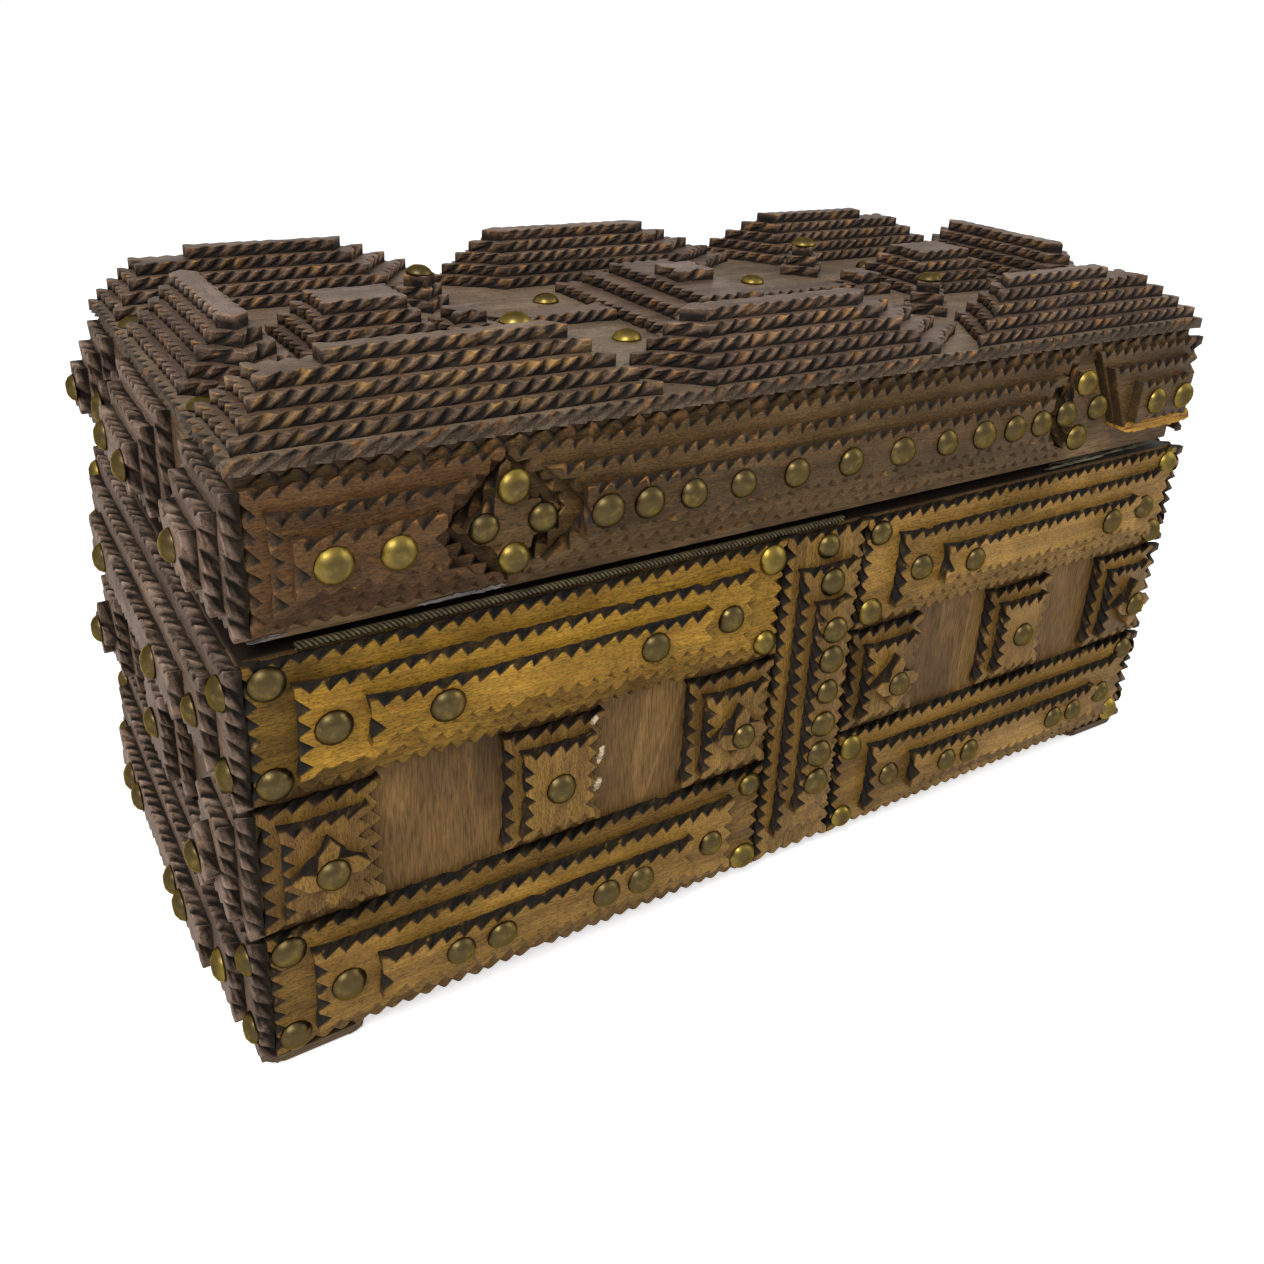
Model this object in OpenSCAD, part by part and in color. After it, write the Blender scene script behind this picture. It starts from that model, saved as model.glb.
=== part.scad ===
// Tramp art box: a hinged wooden box dressed with stacks of notch-carved layers
// and brass-headed tacks. Millimetres, +Z up, the front faces -Y.

/* [Boards] */
// Width of the base over its end boards
box_w = 318; // [300:1:360]
// Depth of the base over its front and back boards
box_d = 146; // [142:1:180]
// Height of the base boards
base_h = 108.5; // [104:0.5:130]
// Thickness of the upright boards of the base and the lid
wall = 8; // [7.9:0.1:11]
// Thickness of the floor board
floor_t = 6; // [4:0.5:10]
// Height of the upright boards of the lid
lid_h = 33.5; // [32:0.5:45]
// Thickness of the lid's top board
top_t = 5.5; // [5.2:0.1:9]
// Gap between the base and the closed lid
seam = 2.5; // [2.4:0.1:3.2]
// How far the lid stands back from the front of the base
lid_setback = 1.5; // [0.5:0.1:2]
// How far the lid stands back from the left end of the base
left_setback = 3; // [0.5:0.1:4]
// How far the lid stands back from the right end of the base
right_setback = 1.5; // [0.5:0.1:4]

/* [Feet] */
// Length of a corner pad along the front
foot_l = 28; // [20:1:50]
// Width of a corner pad from front to back
foot_w = 22; // [15:1:40]
// Height of a corner pad
foot_h = 3.5; // [2:0.5:8]
// Gap between a corner pad and the bands over it
foot_gap = 0.3; // [0.1:0.05:1]

/* [Carved layers] */
// Thickness of one carved layer
layer_t = 3.3; // [2.8:0.1:3.6]
// Glue line under each layer
glue = 0.05; // [0.02:0.01:0.1]
// Spacing of the notches along an edge
notch_pitch = 6.5; // [6:0.1:9]
// Depth of a notch
notch_depth = 2.4; // [1.5:0.1:2.8]
// Where the bottom of a notch lies between its two tips
notch_lean = 0.6; // [0.4:0.05:0.6]
// Plain length left at each corner of a layer
corner_plain = 2; // [1.5:0.1:3]
// Gap left between neighbouring stacks
stack_gap = 0.8; // [0.5:0.1:2]

/* [Base bands] */
// Height of the upper bands of the base
upper_band_h = 35; // [32:0.5:40]
// Height of the lower bands of the base
lower_band_h = 35.5; // [32:0.5:38]
// How far each layer of a base band steps in from the one below
band_step = 5.7; // [5:0.1:6.2]
// How far the third layer stops short of a base band's outer end
third_out = 25; // [23:0.5:28]
// How far the second layer stops short of a base band's end at the upright
second_in = 12; // [11:0.5:14]
// How far the third layer stops short of a base band's end at the upright
third_in = 28; // [26:0.5:32]
// Width of the upright between the left and right bands
column_w = 29; // [27:0.5:34]
// How far each layer of the upright steps in at its sides
column_step = 4.2; // [3.5:0.1:4.4]
// How far the upright lies right of the middle
column_shift = 1.5; // [0:0.1:3]

/* [Base blocks] */
// Width of a block on the front and the ends
block_w = 29; // [26:0.5:30]
// Space above and below a block
block_clear = 2; // [1:0.1:3]
// How far the second layer of a block steps in
block_step = 4; // [3:0.1:4.5]
// Half diagonal of the diamond on a block
block_diamond_r = 9; // [8:0.1:10]
// How far the middle blocks of the front lie right of their bay's middle
block_shift = 2.5; // [0:0.1:4]

/* [Lid bands] */
// Height of the bands round the lid
lid_band_h = 33; // [30:0.5:33.5]
// Height of the bands' lower edge over the lid's lower edge
lid_band_lift = 3; // [2:0.1:4]
// How far each layer of a lid band steps in
lid_band_step = 4.9; // [4:0.1:5.2]
// How far the layers of a lid band step in at a square end
lid_band_end = 4; // [3.5:0.1:5]
// Half diagonal of a diamond on the lid's front
front_diamond_r = 14; // [13:0.1:15]
// Length of a short band, from the lid's corner to the middle of the diamond
short_band_l = 58.6; // [56:0.1:62]
// How far the second layer of a band steps back from a diamond
bite_step = 5; // [4:0.1:6]
// Height broken off the lower edge of the right short band
lost_h = 6.5; // [5:0.1:8]
// Distance of the break from the diamond's middle at the band's upper edge
break_top = 9; // [8:0.1:12]
// Distance of the break from the diamond's middle at the band's lower edge
break_low = 24.5; // [22:0.1:26]
// How much further the break runs in the second layer at the upper edge
break_step = 4; // [2:0.1:5]
// Half diagonal of a diamond on the lid's ends
end_diamond_r = 10; // [9:0.1:10.5]
// Length of the front band on a lid end
end_front_l = 35; // [30:0.5:38]
// Length of the back band on a lid end
end_back_l = 21.5; // [20:0.5:30]

/* [Lid top] */
// Thickness of the rim plate
rim_t = 3; // [2.8:0.1:4]
// How far the rim plate stands over the lid's front and ends
rim_over = 2.1; // [1:0.1:2.6]
// How far the rim plate stands over the lid's back
rim_back = 0.6; // [0.2:0.1:1.5]
// Plain margin between the rim's edge and the mounds
mound_edge = 2.2; // [1.5:0.1:3]
// Layers in each mound along the edge
mound_layers = 5; // [3:1:5]
// How far each layer of a mound steps in
mound_step = 2.7; // [2.2:0.1:2.7]
// Gap between the outer sides of a corner mound and a middle mound
mound_gap = 15.6; // [14.5:0.1:20]
// Depth of a corner mound
corner_mound_d = 27.5; // [27:0.5:28]
// How far the slanted end of a corner mound runs back
corner_slant = 19; // [16:0.5:22]
// How much shorter the top layer of a corner mound is at its square end
corner_top_short = 12; // [8:0.5:14]
// Extra step of each layer at the uneven end of a corner mound
corner_uneven = 3; // [0:0.1:4]
// Length of a middle mound's outer side
middle_mound_l = 78; // [70:1:80]
// Length of a middle mound between its points
middle_mound_span = 120; // [112:1:121]
// Depth of a middle or end mound
middle_mound_d = 29; // [27.5:0.5:29.5]
// Extra step of each layer at the right end of a middle mound
middle_uneven = 5; // [0:0.1:6]
// Gap between an end mound's points and the corner mounds
end_gap = 1.9; // [1:0.1:4]
// Length of an end mound's pointed ends
end_point = 14.5; // [14.5:0.1:18]
// Length of an inner mound
inner_mound_l = 39; // [34:0.5:40]
// Depth of an inner mound
inner_mound_d = 32; // [30:0.5:34]
// Layers in an inner mound
inner_layers = 4; // [2:1:4]
// Gap between an inner mound and the end mound beside it
inner_gap = 3.4; // [2:0.1:5]
// Length of the ridge from front to back
ridge_l = 68; // [60:1:70]
// Width of the ridge
ridge_w = 52; // [48:1:54]
// How far each layer of the ridge steps in at its sides
ridge_step = 7.5; // [6:0.1:8]
// How far each layer of the ridge steps in at its ends
ridge_end = 4; // [3:0.1:5]
// Width of the small block on the ridge
ridge_block_w = 13; // [10:0.5:14]
// Gap between a small block and the inner mound beside it
rosette_gap = 4; // [2.5:0.1:6]
// Gap between a rosette and the corner mound beside it
rosette_room = 3.4; // [2:0.1:5]
// Half diagonal of a rosette
rosette_r = 9.5; // [9:0.1:10]
// Width of a small block between the rosettes
small_block_w = 15; // [13:0.5:16]
// Width of the low bar between a small block and the ridge
bar_w = 10; // [8:0.5:12]
// Distance of the left ground tacks from the ridge
ground_gap = 9; // [6:0.1:11]

/* [Tacks] */
// Diameter of a tack's head
tack_d = 9; // [8:0.1:9.8]
// Height of a tack's head
tack_h = 2.7; // [2:0.1:3.5]
// Diameter of a tack's shank
shank_d = 1.8; // [1.2:0.1:2.4]
// Length of a tack's shank
shank_l = 8; // [6:0.1:8]
// Clearance between a corner tack's head and the edges beside it
tack_edge = 0.3; // [0.2:0.05:0.8]
// Distance of a tack from the end of the second layer
second_tack = 8; // [7:0.1:10]
// Number of tacks on the long band of the lid
row_count = 11; // [7:1:11]
// Distance of the row's first and last tack from the middles of the diamonds
row_margin = 22.7; // [20:0.1:26]
// How far the row's tacks crowd towards its ends, as a share of its length
row_drift = 0.04; // [0:0.005:0.05]
// Distance of the left short band's first tack from the lid's corner
left_pair_in = 16; // [12:0.1:18]
// Distance of the right short band's first tack from the lid's corner
right_pair_in = 12; // [11:0.1:18]
// Spacing of the two tacks on a short band
pair_pitch = 14; // [10:0.1:16]

/* [Braid] */
// Thickness of the braid on the base's front edge
braid_d = 2; // [1.5:0.1:2.2]
// Length of the braid that is left
braid_l = 155; // [80:1:200]
// Distance of the braid's start from the end of the left band
braid_start = 12; // [0:1:20]

/* [Hinges] */
// Length of a hinge
hinge_l = 30; // [24:1:40]
// Distance of a hinge from the middle
hinge_x = 95; // [70:1:120]
// Width of a hinge leaf, from the pin to its edge
leaf_w = 6.8; // [6.4:0.1:7]
// Thickness of a hinge leaf
leaf_t = 1; // [0.8:0.05:1.1]
// Outer radius of the knuckles
knuckle_r = 2.5; // [2.2:0.1:2.7]
// Radius of a hinge pin
pin_r = 1.2; // [1:0.05:1.4]
// Running clearance of a pin in its knuckles
pin_clear = 0.05; // [0.02:0.01:0.1]
// Gap round and between the knuckles
knuckle_gap = 0.4; // [0.3:0.05:0.6]
// How far the pin's axis lies inside the back face
axis_in = 0.9; // [0.7:0.05:1]
// Radius of a hinge screw's shank
screw_r = 0.9; // [0.7:0.05:1]
// Radius of a hinge screw's head
screw_head_r = 1.6; // [1.4:0.05:1.7]
// Length of a hinge screw
screw_l = 8; // [5:0.5:12]

/* [Hidden] */
$fn = 48;

// One layer with its glue line, and the height of the third layer's face
pitch_z = layer_t + glue;
stack_h = 3 * pitch_z;

// The box stands centred over the origin, tack heads and knuckles included
front_reach = stack_h + tack_h;
back_reach = knuckle_r - axis_in;
y_front = front_reach - (box_d + front_reach + back_reach) / 2;
y_back = y_front + box_d;
base_top = foot_h + base_h;

// The lid closes over the base with the seam between
lid_w = box_w - left_setback - right_setback;
lid_x = (left_setback - right_setback) / 2;
lid_d = box_d - lid_setback;
lid_y = y_front + lid_setback;
lid_z = base_top + seam;
lid_top = lid_z + lid_h + top_t;

// Rim plate, and the middle of the lid's top
rim_w = lid_w + 2 * rim_over;
rim_d = lid_d + rim_over + rim_back;
rim_y = lid_y - rim_over + rim_d / 2;
rim_top = lid_top + rim_t;

// Edges of the bands on the base
upper_low = base_top - upper_band_h;
lower_low = foot_h + foot_gap;
lower_high = lower_low + lower_band_h;
block_low = lower_high + block_clear;
block_high = upper_low - block_clear;
band_in = column_w / 2 + stack_gap / 2;
band_out = box_w / 2 - stack_gap / 2;
left_span = [-band_out, column_shift - band_in];
right_span = [column_shift + band_in, band_out];
end_span = [-pitch_z, box_d - stack_gap / 2];

// A corner tack fits between the ends of the first and second layers
corner_tack = tack_d / 2 + tack_edge;
second_out = tack_d + 2 * tack_edge;

// On the ends the corner tacks stand further in, so that their shanks pass the front's
end_rise = corner_tack + shank_d + 2 * tack_edge;

// How far the three layers stop short of a base band's outer end and of its end at the upright
outer_ends = [0, second_out, third_out];
upright_ends = [0, second_in, third_in];

// Bands and diamonds of the lid
lid_low = lid_z + lid_band_lift;
lid_high = lid_low + lid_band_h;
lid_mid = (lid_low + lid_high) / 2;
lid_band_out = lid_w / 2 - stack_gap / 2;
diamond_x = lid_band_out - short_band_l;
bite = front_diamond_r + stack_gap;
diamond_room = end_diamond_r + stack_gap;
front_end = [-pitch_z, -pitch_z + end_front_l];
back_end = [lid_d - stack_gap / 2 - end_back_l, lid_d - stack_gap / 2];
end_diamond_a = front_end.y + diamond_room;
end_diamond_b = back_end.x - diamond_room;
middle_end = [end_diamond_a + diamond_room, end_diamond_b - diamond_room];

// Hinge axis
axis_y = y_back - axis_in;
axis_z = base_top + seam / 2;
knuckle_l = (hinge_l - 2 * knuckle_gap) / 3;

// Tacks on the upright's third layer, below the base's top
column_tacks = [28, 37.4, 48, 59, 69.2, 79];

// Tacks on the bands' third layers, from each of its ends
upper_left_thirds = [[18], [18]];
upper_right_thirds = [[11], [14]];
lower_left_thirds = [[20.5, 32], [18, 29]];
lower_right_thirds = [[14.5, 25], [12, 22.5]];
upper_end_thirds = [[18], [18]];
lower_end_thirds = [[18, 29], [18, 29]];

// Colours
dark_wood = [0.22, 0.16, 0.12];
gold_wood = [0.50, 0.34, 0.14];
board_wood = [0.38, 0.25, 0.14];
brass = [0.62, 0.52, 0.24];
steel = [0.45, 0.44, 0.42];

// Outlines run anticlockwise, so the left side of an edge is inwards
function unit(v) = v / norm(v);
function inward(a, b) = let (u = unit(b - a)) [-u.y, u.x];
function prior(p, i) = p[(i + len(p) - 1) % len(p)];
function next(p, i) = p[(i + 1) % len(p)];

function box_outline(x0, x1, y0, y1) = [[x0, y0], [x1, y0], [x1, y1], [x0, y1]];
function diamond_outline(x, y, r) = [[x, y - r], [x + r, y], [x, y + r], [x - r, y]];
function flipped(p) = [for (i = [len(p) - 1 : -1 : 0]) [-p[i].x, p[i].y]];
function turned_over(p) = [for (i = [len(p) - 1 : -1 : 0]) [p[i].x, -p[i].y]];

// An outline with every edge moved inwards by d
function inset(p, d) = [
    for (i = [0 : len(p) - 1])
        let (m = inward(prior(p, i), p[i]), n = inward(p[i], next(p, i)))
        p[i] + d * (m + n) / (1 + m * n)
];

// Plain length beside a corner: more at a sharp one, so that its two last notches stay apart
function plain_at(p, i, depth) =
    let (m = inward(prior(p, i), p[i]), n = inward(p[i], next(p, i)))
    let (sharpness = sqrt((1 - m * n) / (1 + m * n)))
    max(corner_plain, corner_plain / 2 + depth * sharpness - notch_pitch * (1 - notch_lean));

// The corner of an edge, then a tip and a notch in turn, as many as fit between the plain ends
function notched_edge(a, b, start, end, depth) =
    let (u = unit(b - a), run = norm(b - a) - start - end, count = round(run / notch_pitch))
    count < 1 ? [a] : concat([a], [
        for (i = [0 : count], part = [0, 1])
            if (i < count || part == 0)
                a + u * (start + run * (i + part * notch_lean) / count) + inward(a, b) * part * depth
    ]);
// An outline notched all round, but for the edges listed as broken
function notched(p, depth, broken = []) = [
    for (i = [0 : len(p) - 1])
        let (j = (i + 1) % len(p))
        each (len(search(i, broken)) > 0
            ? [p[i]]
            : notched_edge(p[i], p[j], plain_at(p, i, depth), plain_at(p, j, depth), depth))
];

// One carved layer, at its level over the board that carries the stack
module layer(outline, level, depth = notch_depth, broken = []) {
    translate([0, 0, level * pitch_z + glue])
        linear_extrude(layer_t)
            polygon(notched(outline, depth, broken));
}

// Faces that carry stacks: local X runs along the face, local Y up and local Z outwards
module on_front(y) {
    translate([0, y, 0]) rotate([90, 0, 0]) children();
}

module on_right(x, y) {
    translate([x, y, 0]) rotate([90, 0, 90]) children();
}

module on_left(x, y) {
    mirror([1, 0, 0]) on_right(x, y) children();
}

module on_lid_front() {
    translate([lid_x, 0, 0]) on_front(lid_y) children();
}

module on_lid_right() {
    on_right(lid_x + lid_w / 2, lid_y) children();
}

module on_lid_left() {
    on_left(lid_w / 2 - lid_x, lid_y) children();
}

module on_rim() {
    translate([lid_x, rim_y, rim_top]) children();
}

// A domed tack head on the face of the layer below it, with its shank
module tack() {
    dome_r = (tack_d * tack_d / 4 + tack_h * tack_h) / (2 * tack_h);
    intersection() {
        translate([0, 0, tack_h - dome_r]) sphere(dome_r);
        translate([-tack_d, -tack_d, 0]) cube([2 * tack_d, 2 * tack_d, 2 * tack_h]);
    }
    translate([0, 0, -shank_l]) cylinder(d = shank_d, h = shank_l + tack_h / 2);
}

module tacks(places) {
    color(brass)
        for (p = places)
            translate([p.x, p.y, p.z * pitch_z]) tack();
}

// A band of three layers on the base, and the places of its tacks
module base_band(span, y0, y1, left, right) {
    for (k = [0 : 2])
        layer(box_outline(span.x + left[k], span.y - right[k], y0 + k * band_step, y1 - k * band_step), k);
}

function base_band_tacks(span, y0, y1, left, right, thirds, rise = corner_tack) = concat(
    [for (x = [span.x + corner_tack, span.y - corner_tack])
        each [[x, y0 + rise, 1], [x, y1 - rise, 1]]],
    [for (x = [span.x + left[1] + second_tack, span.y - right[1] - second_tack]) [x, (y0 + y1) / 2, 2]],
    [for (d = thirds[0]) [span.x + left[2] + d, (y0 + y1) / 2, 3]],
    [for (d = thirds[1]) [span.y - right[2] - d, (y0 + y1) / 2, 3]]
);

// A block of two layers, with a diamond on it where crowned is true
module block(x, crowned) {
    outline = box_outline(x - block_w / 2, x + block_w / 2, block_low, block_high);
    layer(outline, 0);
    layer(inset(outline, block_step), 1);
    if (crowned) layer(diamond_outline(x, block_mid, block_diamond_r), 2);
}

// Two crowned blocks at the ends of a bay and a plain one between them
function bay_blocks(span, shift) = [
    span.x + block_w / 2, (span.x + span.y) / 2 + shift, span.y - block_w / 2
];
front_block_x = concat(bay_blocks(left_span, block_shift), bay_blocks(right_span, block_shift));
end_block_x = bay_blocks(end_span, 0);
block_mid = (block_low + block_high) / 2;

module blocks(places) {
    for (k = [0 : len(places) - 1])
        block(places[k], k % 3 != 1);
}

function block_tacks(places) = [
    for (k = [0 : len(places) - 1]) [places[k], block_mid, k % 3 == 1 ? 2 : 3]
];

// Boards of the base

module base_front() {
    color(board_wood)
        translate([-box_w / 2, y_front, foot_h]) cube([box_w, wall, base_h]);
}

module base_back() {
    color(board_wood)
        difference() {
            translate([-box_w / 2, y_back - wall, foot_h]) cube([box_w, wall, base_h]);
            hinge_recesses();
        }
}

module base_side(x) {
    color(board_wood)
        translate([x, y_front + wall, foot_h]) cube([wall, box_d - 2 * wall, base_h]);
}

module base_floor() {
    color(board_wood)
        translate([-box_w / 2 + wall, y_front + wall, foot_h])
            cube([box_w - 2 * wall, box_d - 2 * wall, floor_t]);
}

// A corner pad, flush with the faces of the first layers beside it
module foot(side, end) {
    x = side < 0 ? -box_w / 2 - pitch_z : box_w / 2 + pitch_z - foot_l;
    y = end < 0 ? y_front - pitch_z : y_back - foot_w;
    color(dark_wood) translate([x, y, 0]) cube([foot_l, foot_w, foot_h]);
}

// Carved dress of the base

module front_band(side, y0, y1) {
    color(gold_wood)
        on_front(y_front)
            if (side < 0) base_band(left_span, y0, y1, outer_ends, upright_ends);
            else base_band(right_span, y0, y1, upright_ends, outer_ends);
}

module front_upper_band(side) {
    front_band(side, upper_low, base_top);
}

module front_lower_band(side) {
    front_band(side, lower_low, lower_high);
}

module front_column() {
    color(gold_wood)
        on_front(y_front)
            for (k = [0 : 2]) {
                half = column_w / 2 - k * column_step;
                layer(box_outline(column_shift - half, column_shift + half,
                                  lower_low + k * second_out, base_top - k * second_out), k);
            }
}

module front_blocks() {
    color(gold_wood) on_front(y_front) blocks(front_block_x);
}

module front_tacks() {
    on_front(y_front)
        tacks(concat(
            base_band_tacks(left_span, upper_low, base_top, outer_ends, upright_ends, upper_left_thirds),
            base_band_tacks(right_span, upper_low, base_top, upright_ends, outer_ends, upper_right_thirds),
            base_band_tacks(left_span, lower_low, lower_high, outer_ends, upright_ends, lower_left_thirds),
            base_band_tacks(right_span, lower_low, lower_high, upright_ends, outer_ends, lower_right_thirds),
            block_tacks(front_block_x),
            [for (k = [0, 1]) [column_shift, base_top - k * second_out - corner_tack, k + 1]],
            [for (d = column_tacks) [column_shift, base_top - d, 3]]
        ));
}

module end_upper_band() {
    base_band(end_span, upper_low, base_top, outer_ends, outer_ends);
}

module end_lower_band() {
    base_band(end_span, lower_low, lower_high, outer_ends, outer_ends);
}

module end_tack_set() {
    tacks(concat(
        base_band_tacks(end_span, upper_low, base_top, outer_ends, outer_ends, upper_end_thirds, end_rise),
        base_band_tacks(end_span, lower_low, lower_high, outer_ends, outer_ends, lower_end_thirds, end_rise),
        block_tacks(end_block_x)
    ));
}

module left_upper_band() {
    color(dark_wood) on_left(box_w / 2, y_front) end_upper_band();
}

module left_lower_band() {
    color(dark_wood) on_left(box_w / 2, y_front) end_lower_band();
}

module left_blocks() {
    color(dark_wood) on_left(box_w / 2, y_front) blocks(end_block_x);
}

module right_upper_band() {
    color(dark_wood) on_right(box_w / 2, y_front) end_upper_band();
}

module right_lower_band() {
    color(dark_wood) on_right(box_w / 2, y_front) end_lower_band();
}

module right_blocks() {
    color(dark_wood) on_right(box_w / 2, y_front) blocks(end_block_x);
}

module end_tacks() {
    on_left(box_w / 2, y_front) end_tack_set();
    on_right(box_w / 2, y_front) end_tack_set();
}

// What is left of the braid glued along the base's top front edge
module seam_braid() {
    color(dark_wood)
        translate([-band_out + braid_start, y_front - braid_d / 4, base_top + braid_d / 2])
            rotate([0, 90, 0]) cylinder(d = braid_d, h = braid_l);
}

// Boards of the lid

module lid_front() {
    color(board_wood)
        translate([lid_x - lid_w / 2, lid_y, lid_z]) cube([lid_w, wall, lid_h]);
}

module lid_back() {
    color(board_wood)
        difference() {
            translate([lid_x - lid_w / 2, y_back - wall, lid_z]) cube([lid_w, wall, lid_h]);
            hinge_recesses();
        }
}

module lid_side(x) {
    color(board_wood)
        translate([x, lid_y + wall, lid_z]) cube([wall, lid_d - 2 * wall, lid_h]);
}

module lid_top_board() {
    color(board_wood)
        translate([lid_x - lid_w / 2, lid_y, lid_z + lid_h]) cube([lid_w, lid_d, top_t]);
}

module lid_rim() {
    outline = box_outline(-rim_w / 2, rim_w / 2, -rim_d / 2, rim_d / 2);
    color(dark_wood)
        translate([lid_x, rim_y, lid_top])
            linear_extrude(rim_t)
                polygon(notched(outline, min(notch_depth, rim_over)));
}

// Carved dress of the lid's front and ends

// One end of a lid band beside a diamond, from bottom to top: the first two layers are cut back
// in a V, and the third is square
function diamond_bite(x, half, r) =
    half > r ? [[x, -half], [x, -r], [x - r, 0], [x, r], [x, half]]
             : [[x - r + half, -half], [x - r, 0], [x - r + half, half]];
function square_end(x, half) = [[x, -half], [x, half]];
function mirrored_end(p) = [for (i = [len(p) - 1 : -1 : 0]) [-p[i].x, p[i].y]];
function diamond_end(x, half, k) =
    k < 2 ? diamond_bite(x - stack_gap / 2, half, bite + k * bite_step)
          : square_end(x - bite - bite_step / 2, half);

// A band from a square end or a diamond on the left to a diamond on the right
module lid_band(x0, x1, diamond_left) {
    for (k = [0 : 2]) {
        half = lid_band_h / 2 - k * lid_band_step;
        right = diamond_end(x1, half, k);
        left = diamond_left ? diamond_end(-x0, half, k) : square_end(-x0 - k * lid_band_end, half);
        translate([0, lid_mid, 0]) layer(concat(right, mirrored_end(left)), k);
    }
}

module lid_front_left_band() {
    color(dark_wood) on_lid_front() lid_band(-lid_band_out, -diamond_x, false);
}

module lid_front_middle_band() {
    color(dark_wood) on_lid_front() lid_band(-diamond_x, diamond_x, true);
}

// The right short band has lost its lower edge and its end beside the diamond, where its edges are raw
module lid_front_right_band() {
    high = lid_band_h / 2;
    color(dark_wood)
        on_lid_front()
            for (k = [0 : 2]) {
                low = max(lost_h, k * lid_band_step) - high;
                top = high - k * lid_band_step;
                end = lid_band_out - k * lid_band_end;
                slant = k < 2 ? break_top + k * break_step : break_low;
                outline = [
                    [diamond_x + break_low, low], [end, low], [end, top], [diamond_x + slant, top]
                ];
                translate([0, lid_mid, 0]) layer(outline, k, broken = k < 2 ? [0, 3] : [3]);
            }
}

module diamond_stack(x, y, r, count) {
    for (k = [0 : count - 1])
        layer(inset(diamond_outline(x, y, r), k * stack_gap * 2), k);
}

module lid_front_diamonds() {
    color(dark_wood)
        on_lid_front()
            for (side = [-1, 1])
                diamond_stack(side * diamond_x, lid_mid, front_diamond_r, 2);
}

// Four tacks on each diamond, a pair on each short band and a row on the long one
module lid_front_tacks() {
    ring = [tack_d * 0.82, tack_d * 0.97];
    row_end = diamond_x - row_margin;
    on_lid_front()
        tacks(concat(
            [for (x = [-diamond_x, diamond_x], a = [0 : 90 : 270])
                [x + ring.x * cos(a), lid_mid + ring.y * sin(a), 2]],
            [for (d = [0, pair_pitch]) [left_pair_in + d - lid_band_out, lid_mid, 3]],
            [for (d = [0, pair_pitch]) [lid_band_out - right_pair_in - d, lid_mid, 3]],
            [for (i = [0 : row_count - 1])
                let (t = i / (row_count - 1))
                [row_end * (2 * (t - row_drift * sin(360 * t)) - 1), lid_mid, 3]]
        ));
}

// A band with two square ends on a lid end
module lid_end_band(span) {
    step = min(lid_band_end, (span.y - span.x) / 7);
    for (k = [0 : 2])
        layer(box_outline(span.x + k * step, span.y - k * step,
                          lid_low + k * lid_band_step, lid_high - k * lid_band_step), k);
}

// Three bands on a lid end, with diamonds between them where they are kept
module lid_end_bands(diamonds) {
    lid_end_band(front_end);
    lid_end_band(middle_end);
    lid_end_band(back_end);
    for (x = diamonds)
        diamond_stack(x, lid_mid, end_diamond_r, 2);
}

function along(span, share) = span.x + share * (span.y - span.x);
function lid_end_tack_places(diamonds) = concat(
    [for (x = [along(front_end, 1 / 2), along(back_end, 1 / 2)]) [x, lid_mid, 3]],
    [for (x = [along(middle_end, 1 / 4), along(middle_end, 3 / 4)]) [x, lid_mid, 3]],
    [for (x = diamonds) [x, lid_mid, 2]]
);

left_diamonds = [end_diamond_b];
right_diamonds = [end_diamond_a, end_diamond_b];

module lid_left_bands() {
    color(dark_wood) on_lid_left() lid_end_bands(left_diamonds);
}

module lid_right_bands() {
    color(dark_wood) on_lid_right() lid_end_bands(right_diamonds);
}

module lid_end_tacks() {
    on_lid_left() tacks(lid_end_tack_places(left_diamonds));
    on_lid_right() tacks(lid_end_tack_places(right_diamonds));
}

// Mounds on the lid's top, each a stack of layers that step in

// The edge of the area that the mounds stand on
mound_x = rim_w / 2 - mound_edge;
mound_y = rim_d / 2 - mound_edge;

// The stacks stand round the edge and fill the lid's length from its ends inwards
corner_mound_l = mound_x - middle_mound_l / 2 - mound_gap;
end_mound_span = 2 * (mound_y - corner_mound_d - end_gap);
end_mound_l = end_mound_span - 2 * end_point;
inner_mound_x = mound_x - middle_mound_d - inner_gap - inner_mound_l / 2;
rosette_x = inner_mound_x - inner_mound_l / 2 - rosette_gap - small_block_w / 2;
rosette_y = mound_y - corner_mound_d - rosette_room - rosette_r;

// Front left corner mound: square at the lid's corner, slanted at its inner end
function corner_outline(square_short, slant_short) =
    let (x0 = square_short - mound_x, x1 = corner_mound_l - slant_short - mound_x)
    [
        [x0, -mound_y], [x1, -mound_y],
        [x1 - corner_slant, corner_mound_d - mound_y], [x0, corner_mound_d - mound_y]
    ];

// A long six-sided outline, with its points at its two ends, cut short on its right
function six_sided(x, y, side, span, depth, short) = [
    [x - side / 2, y - depth / 2], [x + side / 2 - short, y - depth / 2], [x + span / 2 - short, y],
    [x + side / 2 - short, y + depth / 2], [x - side / 2, y + depth / 2], [x - span / 2, y]
];
function quarter_turn(p) = [for (q = p) [-q.y, q.x]];

// The top layer of a mound has shallower notches
function mound_notch(k, count) = k < count - 1 ? notch_depth : notch_depth / 2;

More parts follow.
